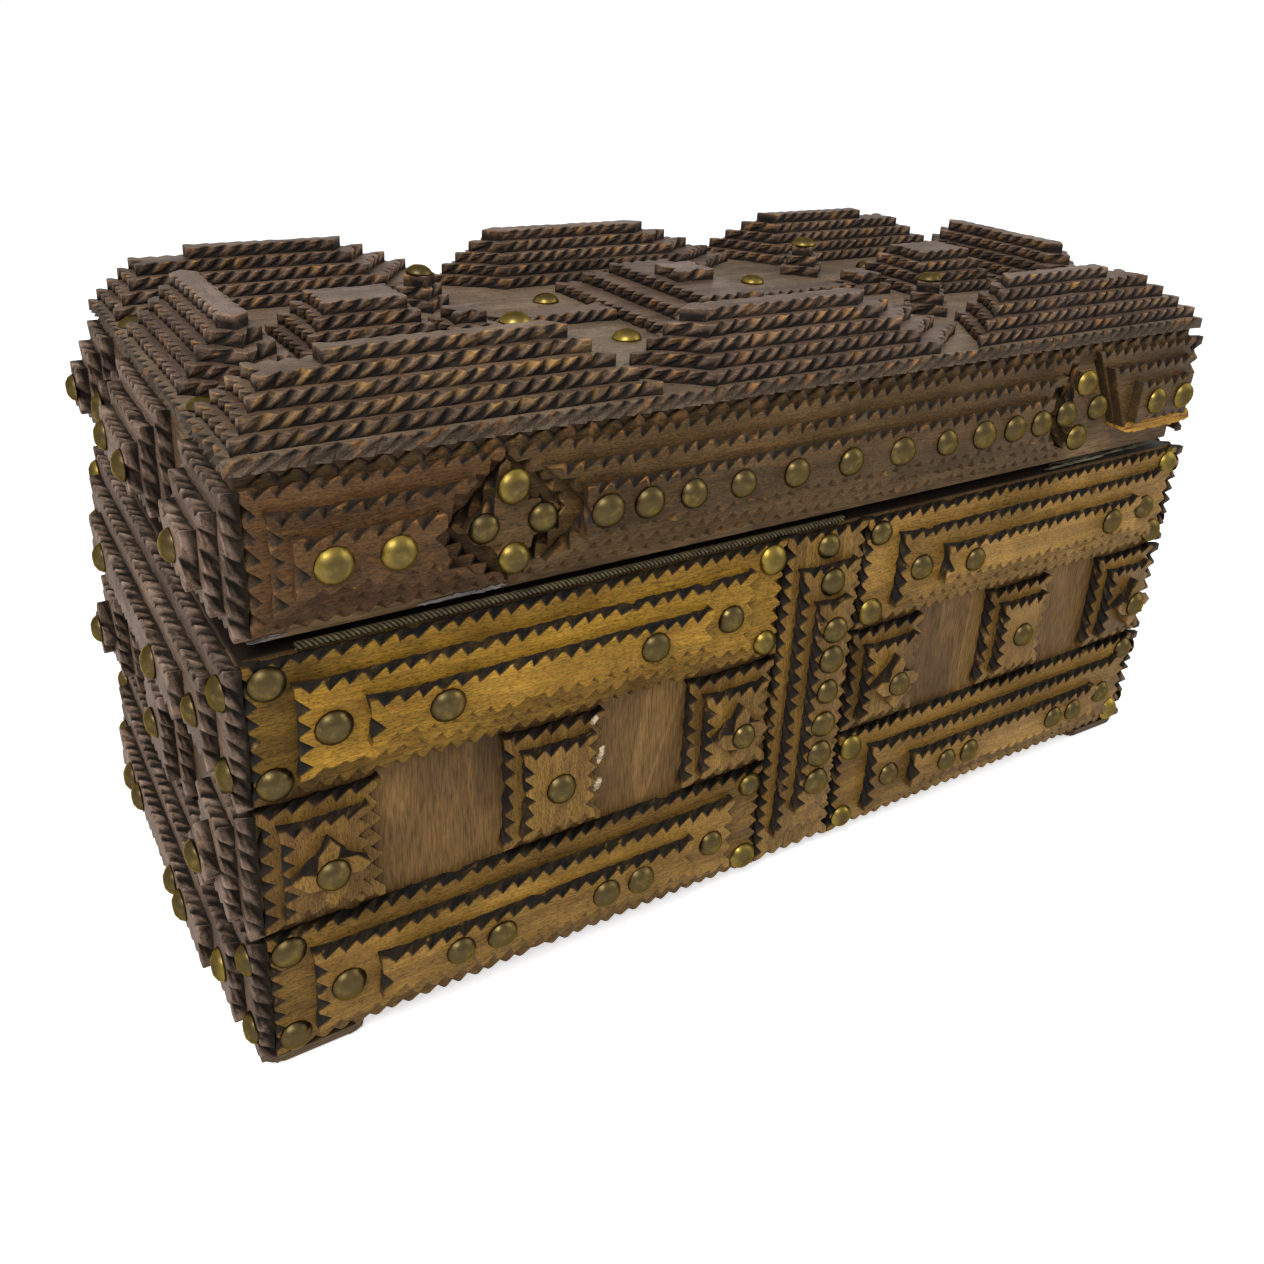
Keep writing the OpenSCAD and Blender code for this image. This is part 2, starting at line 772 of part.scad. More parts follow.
// The right mounds are uneven at their square end, and the back left one at its slanted end
module corner_mound(side, end) {
    square_more = side > 0 ? corner_uneven : 0;
    slant_more = side < 0 && end > 0 ? corner_uneven : 0;
    color(dark_wood)
        on_rim()
            for (k = [0 : mound_layers - 1]) {
                short = k * square_more + (k < mound_layers - 1 ? 0 : corner_top_short);
                plain = inset(corner_outline(short, k * slant_more), k * mound_step);
                across = side < 0 ? plain : flipped(plain);
                layer(end < 0 ? across : turned_over(across), k, mound_notch(k, mound_layers));
            }
}

module middle_mound(end) {
    y = end * (mound_y - middle_mound_d / 2);
    color(dark_wood)
        on_rim()
            for (k = [0 : mound_layers - 1]) {
                short = k * middle_uneven;
                outline = six_sided(0, y, middle_mound_l, middle_mound_span, middle_mound_d, short);
                layer(inset(outline, k * mound_step), k, mound_notch(k, mound_layers));
            }
}

module end_mound(side) {
    x = side * (mound_x - middle_mound_d / 2);
    color(dark_wood)
        on_rim()
            for (k = [0 : mound_layers - 1]) {
                outline = six_sided(0, -x, end_mound_l, end_mound_span, middle_mound_d, 0);
                layer(inset(quarter_turn(outline), k * mound_step), k, mound_notch(k, mound_layers));
            }
}

module inner_mound(side) {
    x = side * inner_mound_x;
    color(dark_wood)
        on_rim()
            for (k = [0 : inner_layers - 1]) {
                outline = box_outline(x - inner_mound_l / 2, x + inner_mound_l / 2,
                                      -inner_mound_d / 2, inner_mound_d / 2);
                layer(inset(outline, k * mound_step), k, mound_notch(k, inner_layers));
            }
}

module lid_ridge() {
    color(dark_wood)
        on_rim() {
            for (k = [0 : 2])
                layer(box_outline(-ridge_w / 2 + k * ridge_step, ridge_w / 2 - k * ridge_step,
                                  -ridge_l / 2 + k * ridge_end, ridge_l / 2 - k * ridge_end), k);
            layer(box_outline(-ridge_block_w / 2, ridge_block_w / 2,
                              -ridge_block_w / 2, ridge_block_w / 2), 3);
        }
}

// Rosettes that carry a tack, the small blocks between them and the low bars to the ridge
module lid_rosettes() {
    bar_x0 = ridge_w / 2 + stack_gap;
    bar_x1 = rosette_x - small_block_w / 2 - stack_gap;
    color(dark_wood)
        on_rim()
            for (side = [-1, 1]) {
                for (end = [-1, 1])
                    diamond_stack(side * rosette_x, end * rosette_y, rosette_r, 3);
                for (k = [0, 1])
                    layer(inset(box_outline(side * rosette_x - small_block_w / 2,
                                            side * rosette_x + small_block_w / 2,
                                            -small_block_w / 2, small_block_w / 2), k * mound_step), k);
                bar = box_outline(bar_x0, bar_x1, -bar_w / 2, bar_w / 2);
                layer(side < 0 ? flipped(bar) : bar, 0);
            }
}

// Tacks on the rosettes, in the four corners and on the bare ground between the mounds
module lid_top_tacks() {
    left_x = -ridge_w / 2 - ground_gap;
    right_x = (ridge_w / 2 + rosette_x - small_block_w / 2) / 2;
    ground_y = (bar_w / 2 + mound_y - middle_mound_d) / 2;
    corner_x = rim_w / 2 - tack_d / 2 - mound_edge / 2;
    corner_y = mound_y - corner_mound_d - tack_d / 2 - stack_gap;
    inner_y = (inner_mound_d / 2 + mound_y - corner_mound_d) / 2;
    on_rim()
        tacks(concat(
            [for (x = [-rosette_x, rosette_x], y = [-rosette_y, rosette_y]) [x, y, 3]],
            [for (x = [left_x, right_x], y = [-ground_y, ground_y]) [x, y, 0]],
            [for (x = [-corner_x, corner_x], y = [-corner_y, corner_y]) [x, y, 0]],
            [for (y = [-inner_y, inner_y]) [inner_mound_x, y, 0]]
        ));
}

// Hinges: the base leaf carries the two outer knuckles, the lid leaf the middle one

module along_axis(x, r, l) {
    translate([x - l / 2, axis_y, axis_z]) rotate([0, 90, 0]) cylinder(r = r, h = l);
}

module hinge_recesses() {
    for (x = [-hinge_x, hinge_x])
        along_axis(x, knuckle_r + knuckle_gap, hinge_l + 2 * knuckle_gap);
}

outer_knuckle_x = (hinge_l - knuckle_l) / 2;
leaf_screw_x = hinge_l / 3;
leaf_screw_y = axis_y - (leaf_w + knuckle_r + knuckle_gap) / 2;

// Each leaf's two screw places, with local Z pointing out of the board
module at_screws(x, face, way) {
    for (dx = [-leaf_screw_x, leaf_screw_x])
        translate([x + dx, leaf_screw_y, face]) mirror([0, 0, way]) children();
}

module screw_hole() {
    translate([0, 0, -leaf_t]) cylinder(r = screw_r + pin_clear, h = leaf_t);
    cylinder(r1 = screw_r + pin_clear, r2 = screw_head_r + pin_clear, h = leaf_t);
    translate([0, 0, leaf_t]) cylinder(r = screw_head_r + pin_clear, h = leaf_t);
}

module base_leaf(x) {
    color(steel)
        difference() {
            union() {
                difference() {
                    translate([x - hinge_l / 2, axis_y - leaf_w, base_top])
                        cube([hinge_l, leaf_w, leaf_t]);
                    along_axis(x, knuckle_r + knuckle_gap, knuckle_l + 2 * knuckle_gap);
                }
                for (dx = [-outer_knuckle_x, outer_knuckle_x])
                    along_axis(x + dx, knuckle_r, knuckle_l);
            }
            along_axis(x, pin_r + pin_clear, 2 * hinge_l);
            at_screws(x, base_top, 0) screw_hole();
        }
}

module lid_leaf(x) {
    color(steel)
        difference() {
            union() {
                difference() {
                    translate([x - hinge_l / 2, axis_y - leaf_w, lid_z - leaf_t])
                        cube([hinge_l, leaf_w, leaf_t]);
                    for (dx = [-outer_knuckle_x, outer_knuckle_x])
                        along_axis(x + dx, knuckle_r + knuckle_gap, knuckle_l + 2 * knuckle_gap);
                }
                along_axis(x, knuckle_r, knuckle_l);
            }
            along_axis(x, pin_r + pin_clear, 2 * hinge_l);
            at_screws(x, lid_z, 1) screw_hole();
        }
}

module hinge_pin(x) {
    color(steel) along_axis(x, pin_r, hinge_l);
}

// Countersunk screws, flush with the leaf and driven into the board behind it
module hinge_screws(face, way) {
    color(steel)
        for (x = [-hinge_x, hinge_x])
            at_screws(x, face, way) {
                cylinder(r1 = screw_r, r2 = screw_head_r, h = leaf_t);
                translate([0, 0, -screw_l]) cylinder(r = screw_r, h = screw_l);
            }
}

base_front();
base_back();
base_side(-box_w / 2);  // base_left
base_side(box_w / 2 - wall);  // base_right
base_floor();
foot(-1, -1);  // foot_front_left
foot(1, -1);  // foot_front_right
foot(-1, 1);  // foot_back_left
foot(1, 1);  // foot_back_right
front_upper_band(-1);  // front_upper_left_band
front_upper_band(1);  // front_upper_right_band
front_lower_band(-1);  // front_lower_left_band
front_lower_band(1);  // front_lower_right_band
front_column();
front_blocks();
front_tacks();
left_upper_band();
left_lower_band();
left_blocks();
right_upper_band();
right_lower_band();
right_blocks();
end_tacks();
seam_braid();
lid_front();
lid_back();
lid_side(lid_x - lid_w / 2);  // lid_left
lid_side(lid_x + lid_w / 2 - wall);  // lid_right
lid_top_board();
lid_rim();
lid_front_left_band();
lid_front_middle_band();
lid_front_right_band();
lid_front_diamonds();
lid_front_tacks();
lid_left_bands();
lid_right_bands();
lid_end_tacks();
corner_mound(-1, -1);  // front_left_mound
middle_mound(-1);  // front_middle_mound
corner_mound(1, -1);  // front_right_mound
corner_mound(-1, 1);  // back_left_mound
middle_mound(1);  // back_middle_mound
corner_mound(1, 1);  // back_right_mound
end_mound(-1);  // left_end_mound
end_mound(1);  // right_end_mound
inner_mound(-1);  // left_inner_mound
inner_mound(1);  // right_inner_mound
lid_ridge();
lid_rosettes();
lid_top_tacks();
base_leaf(-hinge_x);  // left_hinge_base_leaf
lid_leaf(-hinge_x);  // left_hinge_lid_leaf
hinge_pin(-hinge_x);  // left_hinge_pin
base_leaf(hinge_x);  // right_hinge_base_leaf
lid_leaf(hinge_x);  // right_hinge_lid_leaf
hinge_pin(hinge_x);  // right_hinge_pin
hinge_screws(base_top, 0);  // base_hinge_screws
hinge_screws(lid_z, 1);  // lid_hinge_screws
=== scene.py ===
import bpy
import numpy as np
from mathutils import Matrix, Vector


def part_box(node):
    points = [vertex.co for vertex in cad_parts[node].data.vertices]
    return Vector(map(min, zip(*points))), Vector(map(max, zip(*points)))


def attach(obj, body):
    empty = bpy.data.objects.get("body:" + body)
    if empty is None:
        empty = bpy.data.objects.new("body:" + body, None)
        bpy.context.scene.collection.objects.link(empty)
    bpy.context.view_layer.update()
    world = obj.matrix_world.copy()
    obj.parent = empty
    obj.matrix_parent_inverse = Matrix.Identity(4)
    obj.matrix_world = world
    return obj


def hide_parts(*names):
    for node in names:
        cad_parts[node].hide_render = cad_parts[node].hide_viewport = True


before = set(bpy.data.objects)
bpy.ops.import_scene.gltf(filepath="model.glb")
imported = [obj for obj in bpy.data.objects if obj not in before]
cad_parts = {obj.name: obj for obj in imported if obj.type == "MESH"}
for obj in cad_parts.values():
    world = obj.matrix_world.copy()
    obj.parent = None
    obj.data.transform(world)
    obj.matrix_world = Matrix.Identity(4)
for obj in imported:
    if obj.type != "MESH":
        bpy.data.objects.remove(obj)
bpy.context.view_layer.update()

# Carcass boards: thin sawn softwood, butted and nailed, with a floor let in between the walls.
# The front board's grain stands upright, the others lie along the box, and the insides were
# never varnished.


def merged(node):
    """Corners and triangles of a copy of a solid's mesh: corners that round to the same hundredth
    of a millimetre become one."""
    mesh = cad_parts[node].data
    co = np.empty(len(mesh.vertices) * 3)
    mesh.vertices.foreach_get("co", co)
    mesh.calc_loop_triangles()
    tri = np.empty(len(mesh.loop_triangles) * 3, dtype=np.int64)
    mesh.loop_triangles.foreach_get("vertices", tri)
    place, number = np.unique(np.round(co.reshape(-1, 3) * 1e5).astype(np.int64), axis=0, return_inverse=True)
    tri = number.reshape(-1)[tri].reshape(-1, 3)
    flat = (tri[:, 0] == tri[:, 1]) | (tri[:, 1] == tri[:, 2]) | (tri[:, 2] == tri[:, 0])
    return place / 1e5, tri[~flat]


def put_piece(name, verts, faces, body, slot, node, material, smooth=False, **values):
    """A mesh object from arrays. Each extra value is an attribute with one row for each corner."""
    mesh = bpy.data.meshes.new(name)
    mesh.from_pydata(verts.tolist(), [], [list(f) for part in faces for f in part.tolist()])
    for key, rows in values.items():
        rows = np.asarray(rows, dtype=np.float32)
        layer = mesh.attributes.new(key, "FLOAT_VECTOR" if rows.ndim == 2 else "FLOAT", "POINT")
        layer.data.foreach_set("vector" if rows.ndim == 2 else "value", rows.reshape(-1))
    mesh.polygons.foreach_set("use_smooth", np.broadcast_to(smooth, len(mesh.polygons)).copy())
    mesh.materials.append(material)
    piece = bpy.data.objects.new(name, mesh)
    bpy.context.scene.collection.objects.link(piece)
    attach(piece, body)
    if node:
        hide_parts(node)
    return piece


def blank(name, roughness, metallic=0.0, specular=0.5):
    """An empty material with its shader, a function that adds a node with its inputs wired or set, and
    one that wires a value to the shader."""
    mat = bpy.data.materials.new(name)
    mat.use_nodes = True
    tree = mat.node_tree
    tree.nodes.clear()
    shader = tree.nodes.new("ShaderNodeBsdfPrincipled")
    shader.inputs["Roughness"].default_value = roughness
    shader.inputs["Metallic"].default_value = metallic
    shader.inputs["Specular IOR Level"].default_value = specular
    tree.links.new(shader.outputs[0], tree.nodes.new("ShaderNodeOutputMaterial").inputs["Surface"])

    def add(kind, out=0, settings=None, **inputs):
        node = tree.nodes.new("ShaderNode" + kind)
        for key, value in (settings or {}).items():
            setattr(node, key, value)
        for key, value in inputs.items():
            socket = node.inputs[int(key[1:])] if key[1:].isdigit() else node.inputs[key.replace("_", " ")]
            if isinstance(value, bpy.types.NodeSocket):
                tree.links.new(value, socket)
            else:
                socket.default_value = value
        return node.outputs[out]

    def wire(socket, value):
        tree.links.new(value, shader.inputs[socket])

    return mat, add, wire


def ramp(add, value, stops):
    """A value turned into a colour or a grey by a list of (place, colour)."""
    out = add("ValToRGB", Fac=value)
    band = out.node.color_ramp
    for place, colour in stops[2:]:
        band.elements.new(place)
    for element, (place, colour) in zip(band.elements, stops):
        element.position = place
        element.color = (*colour, 1) if len(colour) == 3 else (colour[0],) * 3 + (1,)
    return out


def mixed(add, share, a, b, how="MIX"):
    """Two colours mixed by a share, with the blend named."""
    return add("Mix", out=2, settings={"data_type": "RGBA", "blend_type": how}, i0=share, i6=a, i7=b)


def worked(add, how, a, b):
    """Two numbers worked into one, kept between 0 and 1."""
    return add("Math", settings={"operation": how, "use_clamp": True}, i0=a, i1=b)


def grained(add, vector, stretch, scale, detail=4.0, distort=0.0):
    """Noise drawn out along the first axis of a vector, as wood fibres are."""
    drawn = add("Mapping", Vector=vector, Scale=stretch)
    return add("TexNoise", Vector=drawn, Scale=scale, Detail=detail, Roughness=0.6, Distortion=distort)


def rings(add, figure, count):
    """Growth rings cut slantwise: the sine of a slow noise, whose contour lines show as arches."""
    return add("Math", settings={"operation": "SINE"},
               i0=add("Math", settings={"operation": "MULTIPLY"}, i0=figure, i1=count))


def board_finish(name, pale, deep, roughness, arches=0.3, seam_shade_height=None):
    """Plain wood: broad figure from one drawn-out noise with its rings, fibres from a finer one, dirt from
    a third. Above the height seam_shade_height, the wood is painted near black: painted shade in the seam
    under the lid."""
    mat, add, wire = blank(name, roughness, specular=0.12)
    run = add("Attribute", out=1, settings={"attribute_name": "grain"})
    figure = grained(add, run, (13.0, 48.0, 48.0), 1.0, 1.0, 0.4)
    fibre = grained(add, run, (170.0, 1900.0, 1900.0), 1.0, 3.0)
    stain = add("TexNoise", Vector=run, Scale=26.0, Detail=4.0, Roughness=0.6)
    wood = ramp(add, figure, [(0.3, deep), (0.7, pale)])
    arched = ramp(add, rings(add, figure, 34.0), [(0.5, (0.85,)), (0.97, (1.7,))])
    wood = mixed(add, arches, wood, arched, "MULTIPLY")
    wood = mixed(add, 0.8, wood, ramp(add, fibre, [(0.32, (0.4,)), (0.62, (1.25,))]), "MULTIPLY")
    wood = mixed(add, 0.6, wood, ramp(add, stain, [(0.34, (0.55,)), (0.6, (1.1,))]), "MULTIPLY")
    # Painted shade: the board's top edge, in the seam under the lid, is painted near black.
    if seam_shade_height:
        height = add("SeparateXYZ", out=2, Vector=add("TexCoord", out=3))
        wood = mixed(add, add("MapRange", Value=height, From_Min=seam_shade_height - 0.0006, From_Max=seam_shade_height), wood,
                     (0.016, 0.010, 0.007, 1))
    wire("Base Color", wood)
    wire("Normal", add("Bump", Strength=0.35, Distance=0.0002, Height=fibre))
    return mat


def plank(node, body, along, material):
    """A board: its solid's own corners, with the sawn edges taken off by a bevel. Grain runs along the axis
    whose number is given."""
    verts, tri = merged(node)
    order = [along, (along + 1) % 3, (along + 2) % 3]
    shift = np.array([0.13, 0.31, 0.07]) * (1 + len(node))
    piece = put_piece(node + "_wood", verts, [tri], body, "board_wood", node, material,
                      grain=verts[:, order] + shift)
    bevel = piece.modifiers.new("worn edge", "BEVEL")
    bevel.width = 0.0005
    bevel.segments = 2


base_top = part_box("base_front")[1].z
# The base's boards get painted shade above the base's top, in the seam under the lid.
ground_wood = board_finish("ground_wood", (0.205, 0.114, 0.036), (0.105, 0.056, 0.020), 0.55, 0.4, base_top)
base_wood = board_finish("base_wood", (0.15, 0.092, 0.047), (0.06, 0.035, 0.018), 0.62, 0.3, base_top)
carcass_wood = board_finish("carcass_wood", (0.13, 0.080, 0.040), (0.055, 0.032, 0.017), 0.62)
plank("base_front", "base", 2, ground_wood)
for node in ("base_back", "base_floor"):
    plank(node, "base", 0, base_wood)
for node in ("base_left", "base_right"):
    plank(node, "base", 1, base_wood)
lid_wood = board_finish("lid_wood", (0.21, 0.132, 0.064), (0.10, 0.060, 0.028), 0.6)
plank("lid_front", "lid", 0, lid_wood)
for node in ("lid_back", "lid_top_board"):
    plank(node, "lid", 0, carcass_wood)
for node in ("lid_left", "lid_right"):
    plank(node, "lid", 1, carcass_wood)

# Corner pads: four thin squares of the same wood, tacked flat under the base to keep it off the table.
# Their corners are rubbed round, and grime has turned them as dark as the lower edges.


def tube_walls(ring_count, around):
    """Quads of a tube: each point joined to the next one round its ring and to the two beyond them."""
    i = np.arange((ring_count - 1) * around)
    j = i // around * around + (i + 1) % around
    return np.stack([i, j, j + around, i + around], axis=1)


def pad(node, material):
    """A worn square: a rectangle whose corners are arcs, carried up through three rings that draw in at the
    foot."""
    low, high = np.array(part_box(node))
    half, middle = (high - low) / 2, (high + low) / 2
    around, bend, rubbed_off = 72, 0.005, 0.0005
    angle = np.arange(around) * 2 * np.pi / around + 0.01
    arc = np.stack([np.cos(angle), np.sin(angle)], axis=1)
    rng = np.random.default_rng(len(node))
    rows = []
    for inset, height in ((0.0012, low[2]), (0.0004, low[2] + 0.3 * (high[2] - low[2])), (0.0002, high[2])):
        rounded = arc * (bend - rng.uniform(0, rubbed_off, (around, 1)))
        row = np.sign(arc) * (half[:2] - inset - bend) + rounded
        rows.append(np.column_stack([row + middle[:2], np.full(around, height)]))
    points = np.concatenate(rows)
    caps = np.stack([np.arange(around)[::-1], np.arange(around) + 2 * around])
    put_piece(node + "_wood", points, [tube_walls(3, around), caps], "base", "board_wood", node, material,
              grain=points + 0.3)


for node in ("foot_front_left", "foot_front_right", "foot_back_left", "foot_back_right"):
    pad(node, carcass_wood)

# Front of the base: bands, upright and blocks of cigar-box wood, each a stack of thin layers glued one on
# the other, with every edge notched by slanting knife cuts. Varnish has gone golden on the faces and the
# cuts hold dark stain.


def carved_finish(name, pale, deep, cut, raw, worn, roughness, glow=0.0, smoke=()):
    """Carved and varnished wood. The face shows fibres, pores and rings drawn out along the grain, and dirt
    in patches; the tint attribute makes it lighter or darker, with painted shade and painted light by layer;
    the knife attribute darkens the cuts with stain and the foot of each layer with painted shade;
    raw wood shows in patches on the teeth, on more of them as worn grows; glow adds orange flecks; each
    smoke is an axis and the two places between which dirt thins out, and maybe the depth in front of which
    there is none."""
    mat, add, wire = blank(name, roughness, specular=0.12)
    run = add("Attribute", out=1, settings={"attribute_name": "grain"})
    knife = add("Attribute", out=2, settings={"attribute_name": "knife"})
    arris = add("Attribute", out=2, settings={"attribute_name": "arris"})
    tint = add("Attribute", out=2, settings={"attribute_name": "tint"})
    figure = grained(add, run, (7.0, 90.0, 90.0), 1.0, 3.0, 0.8)
    fibre = grained(add, run, (260.0, 2400.0, 2400.0), 1.0, 3.0)
    fleck = grained(add, run, (400.0, 1100.0, 1100.0), 1.0, 2.0)
    pore = grained(add, run, (900.0, 3000.0, 3000.0), 1.0, 2.0)
    patch = add("TexNoise", Vector=run, Scale=38.0, Detail=5.0, Roughness=0.65)
    rub = add("TexNoise", Vector=run, Scale=230.0, Detail=3.0, Roughness=0.6)
    wood = ramp(add, figure, [(0.32, deep), (0.66, pale)])
    arched = ramp(add, rings(add, figure, 40.0), [(0.3, (0.7,)), (0.95, (1.3,))])
    wood = mixed(add, 0.3, wood, arched, "MULTIPLY")
    wood = mixed(add, 0.6, wood, ramp(add, fibre, [(0.3, (0.4,)), (0.64, (1.25,))]), "MULTIPLY")
    wood = mixed(add, 0.75, wood, ramp(add, patch, [(0.34, (0.5,)), (0.62, (1.12,))]), "MULTIPLY")
    wood = mixed(add, 0.8, wood, ramp(add, pore, [(0.36, (0.35,)), (0.5, (1.08,))]), "MULTIPLY")
    # The tint attribute: painted shade on lower layers and on the row under the rim, painted light on the
    # lid's lowest front layer, random tone, and the flats' own tone.
    wood = mixed(add, 1.0, wood, ramp(add, tint, [(0.0, (0.5,)), (1.0, (1.3,))]), "MULTIPLY")
    if glow:
        wood = mixed(add, ramp(add, fleck, [(0.56, (0.0,)), (0.72, (glow,))]), wood, (0.30, 0.105, 0.012, 1))
    wander = 0.02
    for axis, start, end, *clean in smoke:
        place = add("SeparateXYZ", out=axis, Vector=add("TexCoord", out=3))
        place = add("Math", settings={"operation": "MULTIPLY_ADD"}, i0=patch, i1=wander, i2=place)
        clear = add("MapRange", Value=place, From_Min=start + wander / 2, From_Max=end + wander / 2,
                    To_Min=0.45, To_Max=1.0)
        for depth in clean:
            raised = add("SeparateXYZ", out=1, Vector=add("TexCoord", out=3))
            raised = add("MapRange", Value=raised, From_Min=depth, From_Max=depth - 0.001)
            clear = worked(add, "MAXIMUM", clear, raised)
        wood = mixed(add, 1.0, wood, clear, "MULTIPLY")
    # Stain in the cuts and painted shade at the foot of each layer, both from the knife attribute.
    stained = mixed(add, ramp(add, rub, [(0.4, (0.0,)), (0.8, (0.2,))]), (*cut, 1), wood)
    wood = mixed(add, ramp(add, knife, [(0.1, (0.0,)), (0.75, (1.0,))]), wood, stained)
    bare = ramp(add, rub, [(0.66 - 0.3 * worn, (0.0,)), (0.76 - 0.24 * worn, (1.0,))])
    bare = worked(add, "MULTIPLY", arris, bare)
    wire("Base Color", mixed(add, bare, wood, (*raw, 1)))
    shine = add("MapRange", Value=patch, From_Min=0.3, From_Max=0.7, To_Min=roughness + 0.12,
                To_Max=roughness - 0.1)
    wire("Roughness", worked(add, "ADD", shine, worked(add, "MULTIPLY", knife, 0.3)))
    wire("Normal", add("Bump", Strength=0.4, Distance=0.0002, Height=fibre))
    return mat


def facing(outward):
    """Directions on a side of the box: outwards, up along it and across it."""
    out = np.array(outward, dtype=float)
    up = np.array([0.0, 1.0, 0.0]) if abs(out[2]) > 0.5 else np.array([0.0, 0.0, 1.0])
    return out, up, np.cross(up, out)


def carve(node, body, slot, outward, upright, material, seed, thick=0.0033, keep=0.4, soak=1.0, foot_shade=1.0,
          depth_shade=0.27, face_tint=None):
    """A stack of chip-carved layers. Corners and straight edges are read from its solid's outward faces, and
    each notched edge is cut anew with finer teeth: tip, notch, tip along the edge, each tip nearer the notch
    before it. A notch is a groove across the layer's edge: from the face to the foot it slides back along the
    edge by 3 mm and keeps a share of its depth, so the teeth lean like the strands of a rope. Tips are blunt
    and undercut, points stray a little, some teeth are broken, and the arris at the face is rubbed off. Soak
    is how far stain ran over the teeth; foot_shade is how dark the foot of each layer is painted, as painted
    shade in the crevice where the layer sits on the one below; depth_shade is how much darker the lowest
    layer is painted, as painted shade, and below zero it paints that layer lighter, as painted light; and
    face_tint is the tone of the flats where it differs from the edges."""
    # The outline of the outward faces: edges that one triangle alone has, and the points next to each.
    out, up, side = facing(outward)
    verts, tri = merged(node)
    normal = np.cross(verts[tri[:, 1]] - verts[tri[:, 0]], verts[tri[:, 2]] - verts[tri[:, 0]])
    face = tri[normal @ out > 0.7 * np.linalg.norm(normal, axis=1)]
    edge = np.concatenate([face[:, [0, 1]], face[:, [1, 2]], face[:, [2, 0]]])
    edge = edge[~np.isin(edge @ [len(verts), 1], edge @ [1, len(verts)])]
    used = np.unique(edge[:, 0])
    after, before = np.empty(len(used), dtype=int), np.empty(len(used), dtype=int)
    i, j = np.searchsorted(used, edge.T)
    after[i], before[j] = j, i
    flat = np.stack([verts[used] @ side, verts[used] @ up], axis=1)

    def size(v):
        return np.maximum(np.linalg.norm(v, axis=1), 1e-9)

    def turn(a, b):
        return (a[:, 0] * b[:, 1] - a[:, 1] * b[:, 0]) / (size(a) * size(b))

    # Notches turn inwards; the other points are tips, or corners where the outline changes direction.
    into, onto = flat - flat[before], flat[after] - flat
    shortest = 0.0023
    notch = (turn(into, onto) < -0.25) & (size(into) > shortest) & (size(onto) > shortest)
    prior = np.where(notch[before] & ~notch, before[before], before)
    later = np.where(notch[after] & ~notch, after[after], after)
    straight = np.abs(turn(flat - flat[prior], flat[later] - flat)) < 0.2
    corner = ~notch & ~(straight & (notch[before] | notch[after]))

    # Each loop is named by its first corner, and its points are put in order by their steps to that corner.
    # Every pass looks twice as far ahead.
    here = np.arange(len(used))
    loop, hop = np.where(corner, here, len(used)), after
    for doubling in range(13):
        loop, hop = np.minimum(loop, loop[hop]), hop[hop]
    hop = np.where(loop == here, here, after)
    steps = (hop != here).astype(int)
    for doubling in range(13):
        steps, hop = steps + steps[hop], hop[hop]
    ring = np.lexsort((-steps, loop))

    # Straight edges from corner to corner, with the notches that each has, and the finer pitch that fits.
    ends = np.flatnonzero(corner[ring])
    at, run = flat[ring[ends]], loop[ring[ends]]
    first = np.searchsorted(run, run)
    last = np.searchsorted(run, run, side="right") - 1
    number = np.arange(len(ends))
    start = at[np.where(number == first, last, number - 1)]
    length = size(at - start)
    along = (at - start) / length[:, None]
    inside = np.stack([-along[:, 1], along[:, 0]], axis=1)
    cut = np.flatnonzero(notch[ring])
    owner = np.searchsorted(ends, cut)
    offset = flat[ring[cut]] - start[owner]
    place, sink = np.sum(offset * along[owner], axis=1), np.sum(offset * inside[owner], axis=1)
    notches = np.bincount(owner, minlength=len(ends))
    deep = np.bincount(owner, sink, len(ends)) / np.maximum(notches, 1)
    nearest, farthest = length.copy(), np.zeros(len(ends))
    np.minimum.at(nearest, owner, place)
    np.maximum.at(farthest, owner, place)
    lone_pitch, fine_pitch, margin = 0.0055, 0.0046, 0.0004
    pitch = np.where(notches > 1, (farthest - nearest) / np.maximum(notches - 1, 1), lone_pitch)
    begin = np.maximum(nearest - pitch / 2, margin)
    stop = np.minimum(farthest + pitch / 2, length - margin)
    finer = np.where(notches > 0, np.maximum(1, np.round((stop - begin) / fine_pitch)), 0).astype(int)
    pitch = (stop - begin) / np.maximum(finer, 1)
    deep = np.minimum(deep, 0.75 * pitch) * (1 + 0.3 * np.abs(along[:, 1]) * (abs(out[2]) < 0.5))

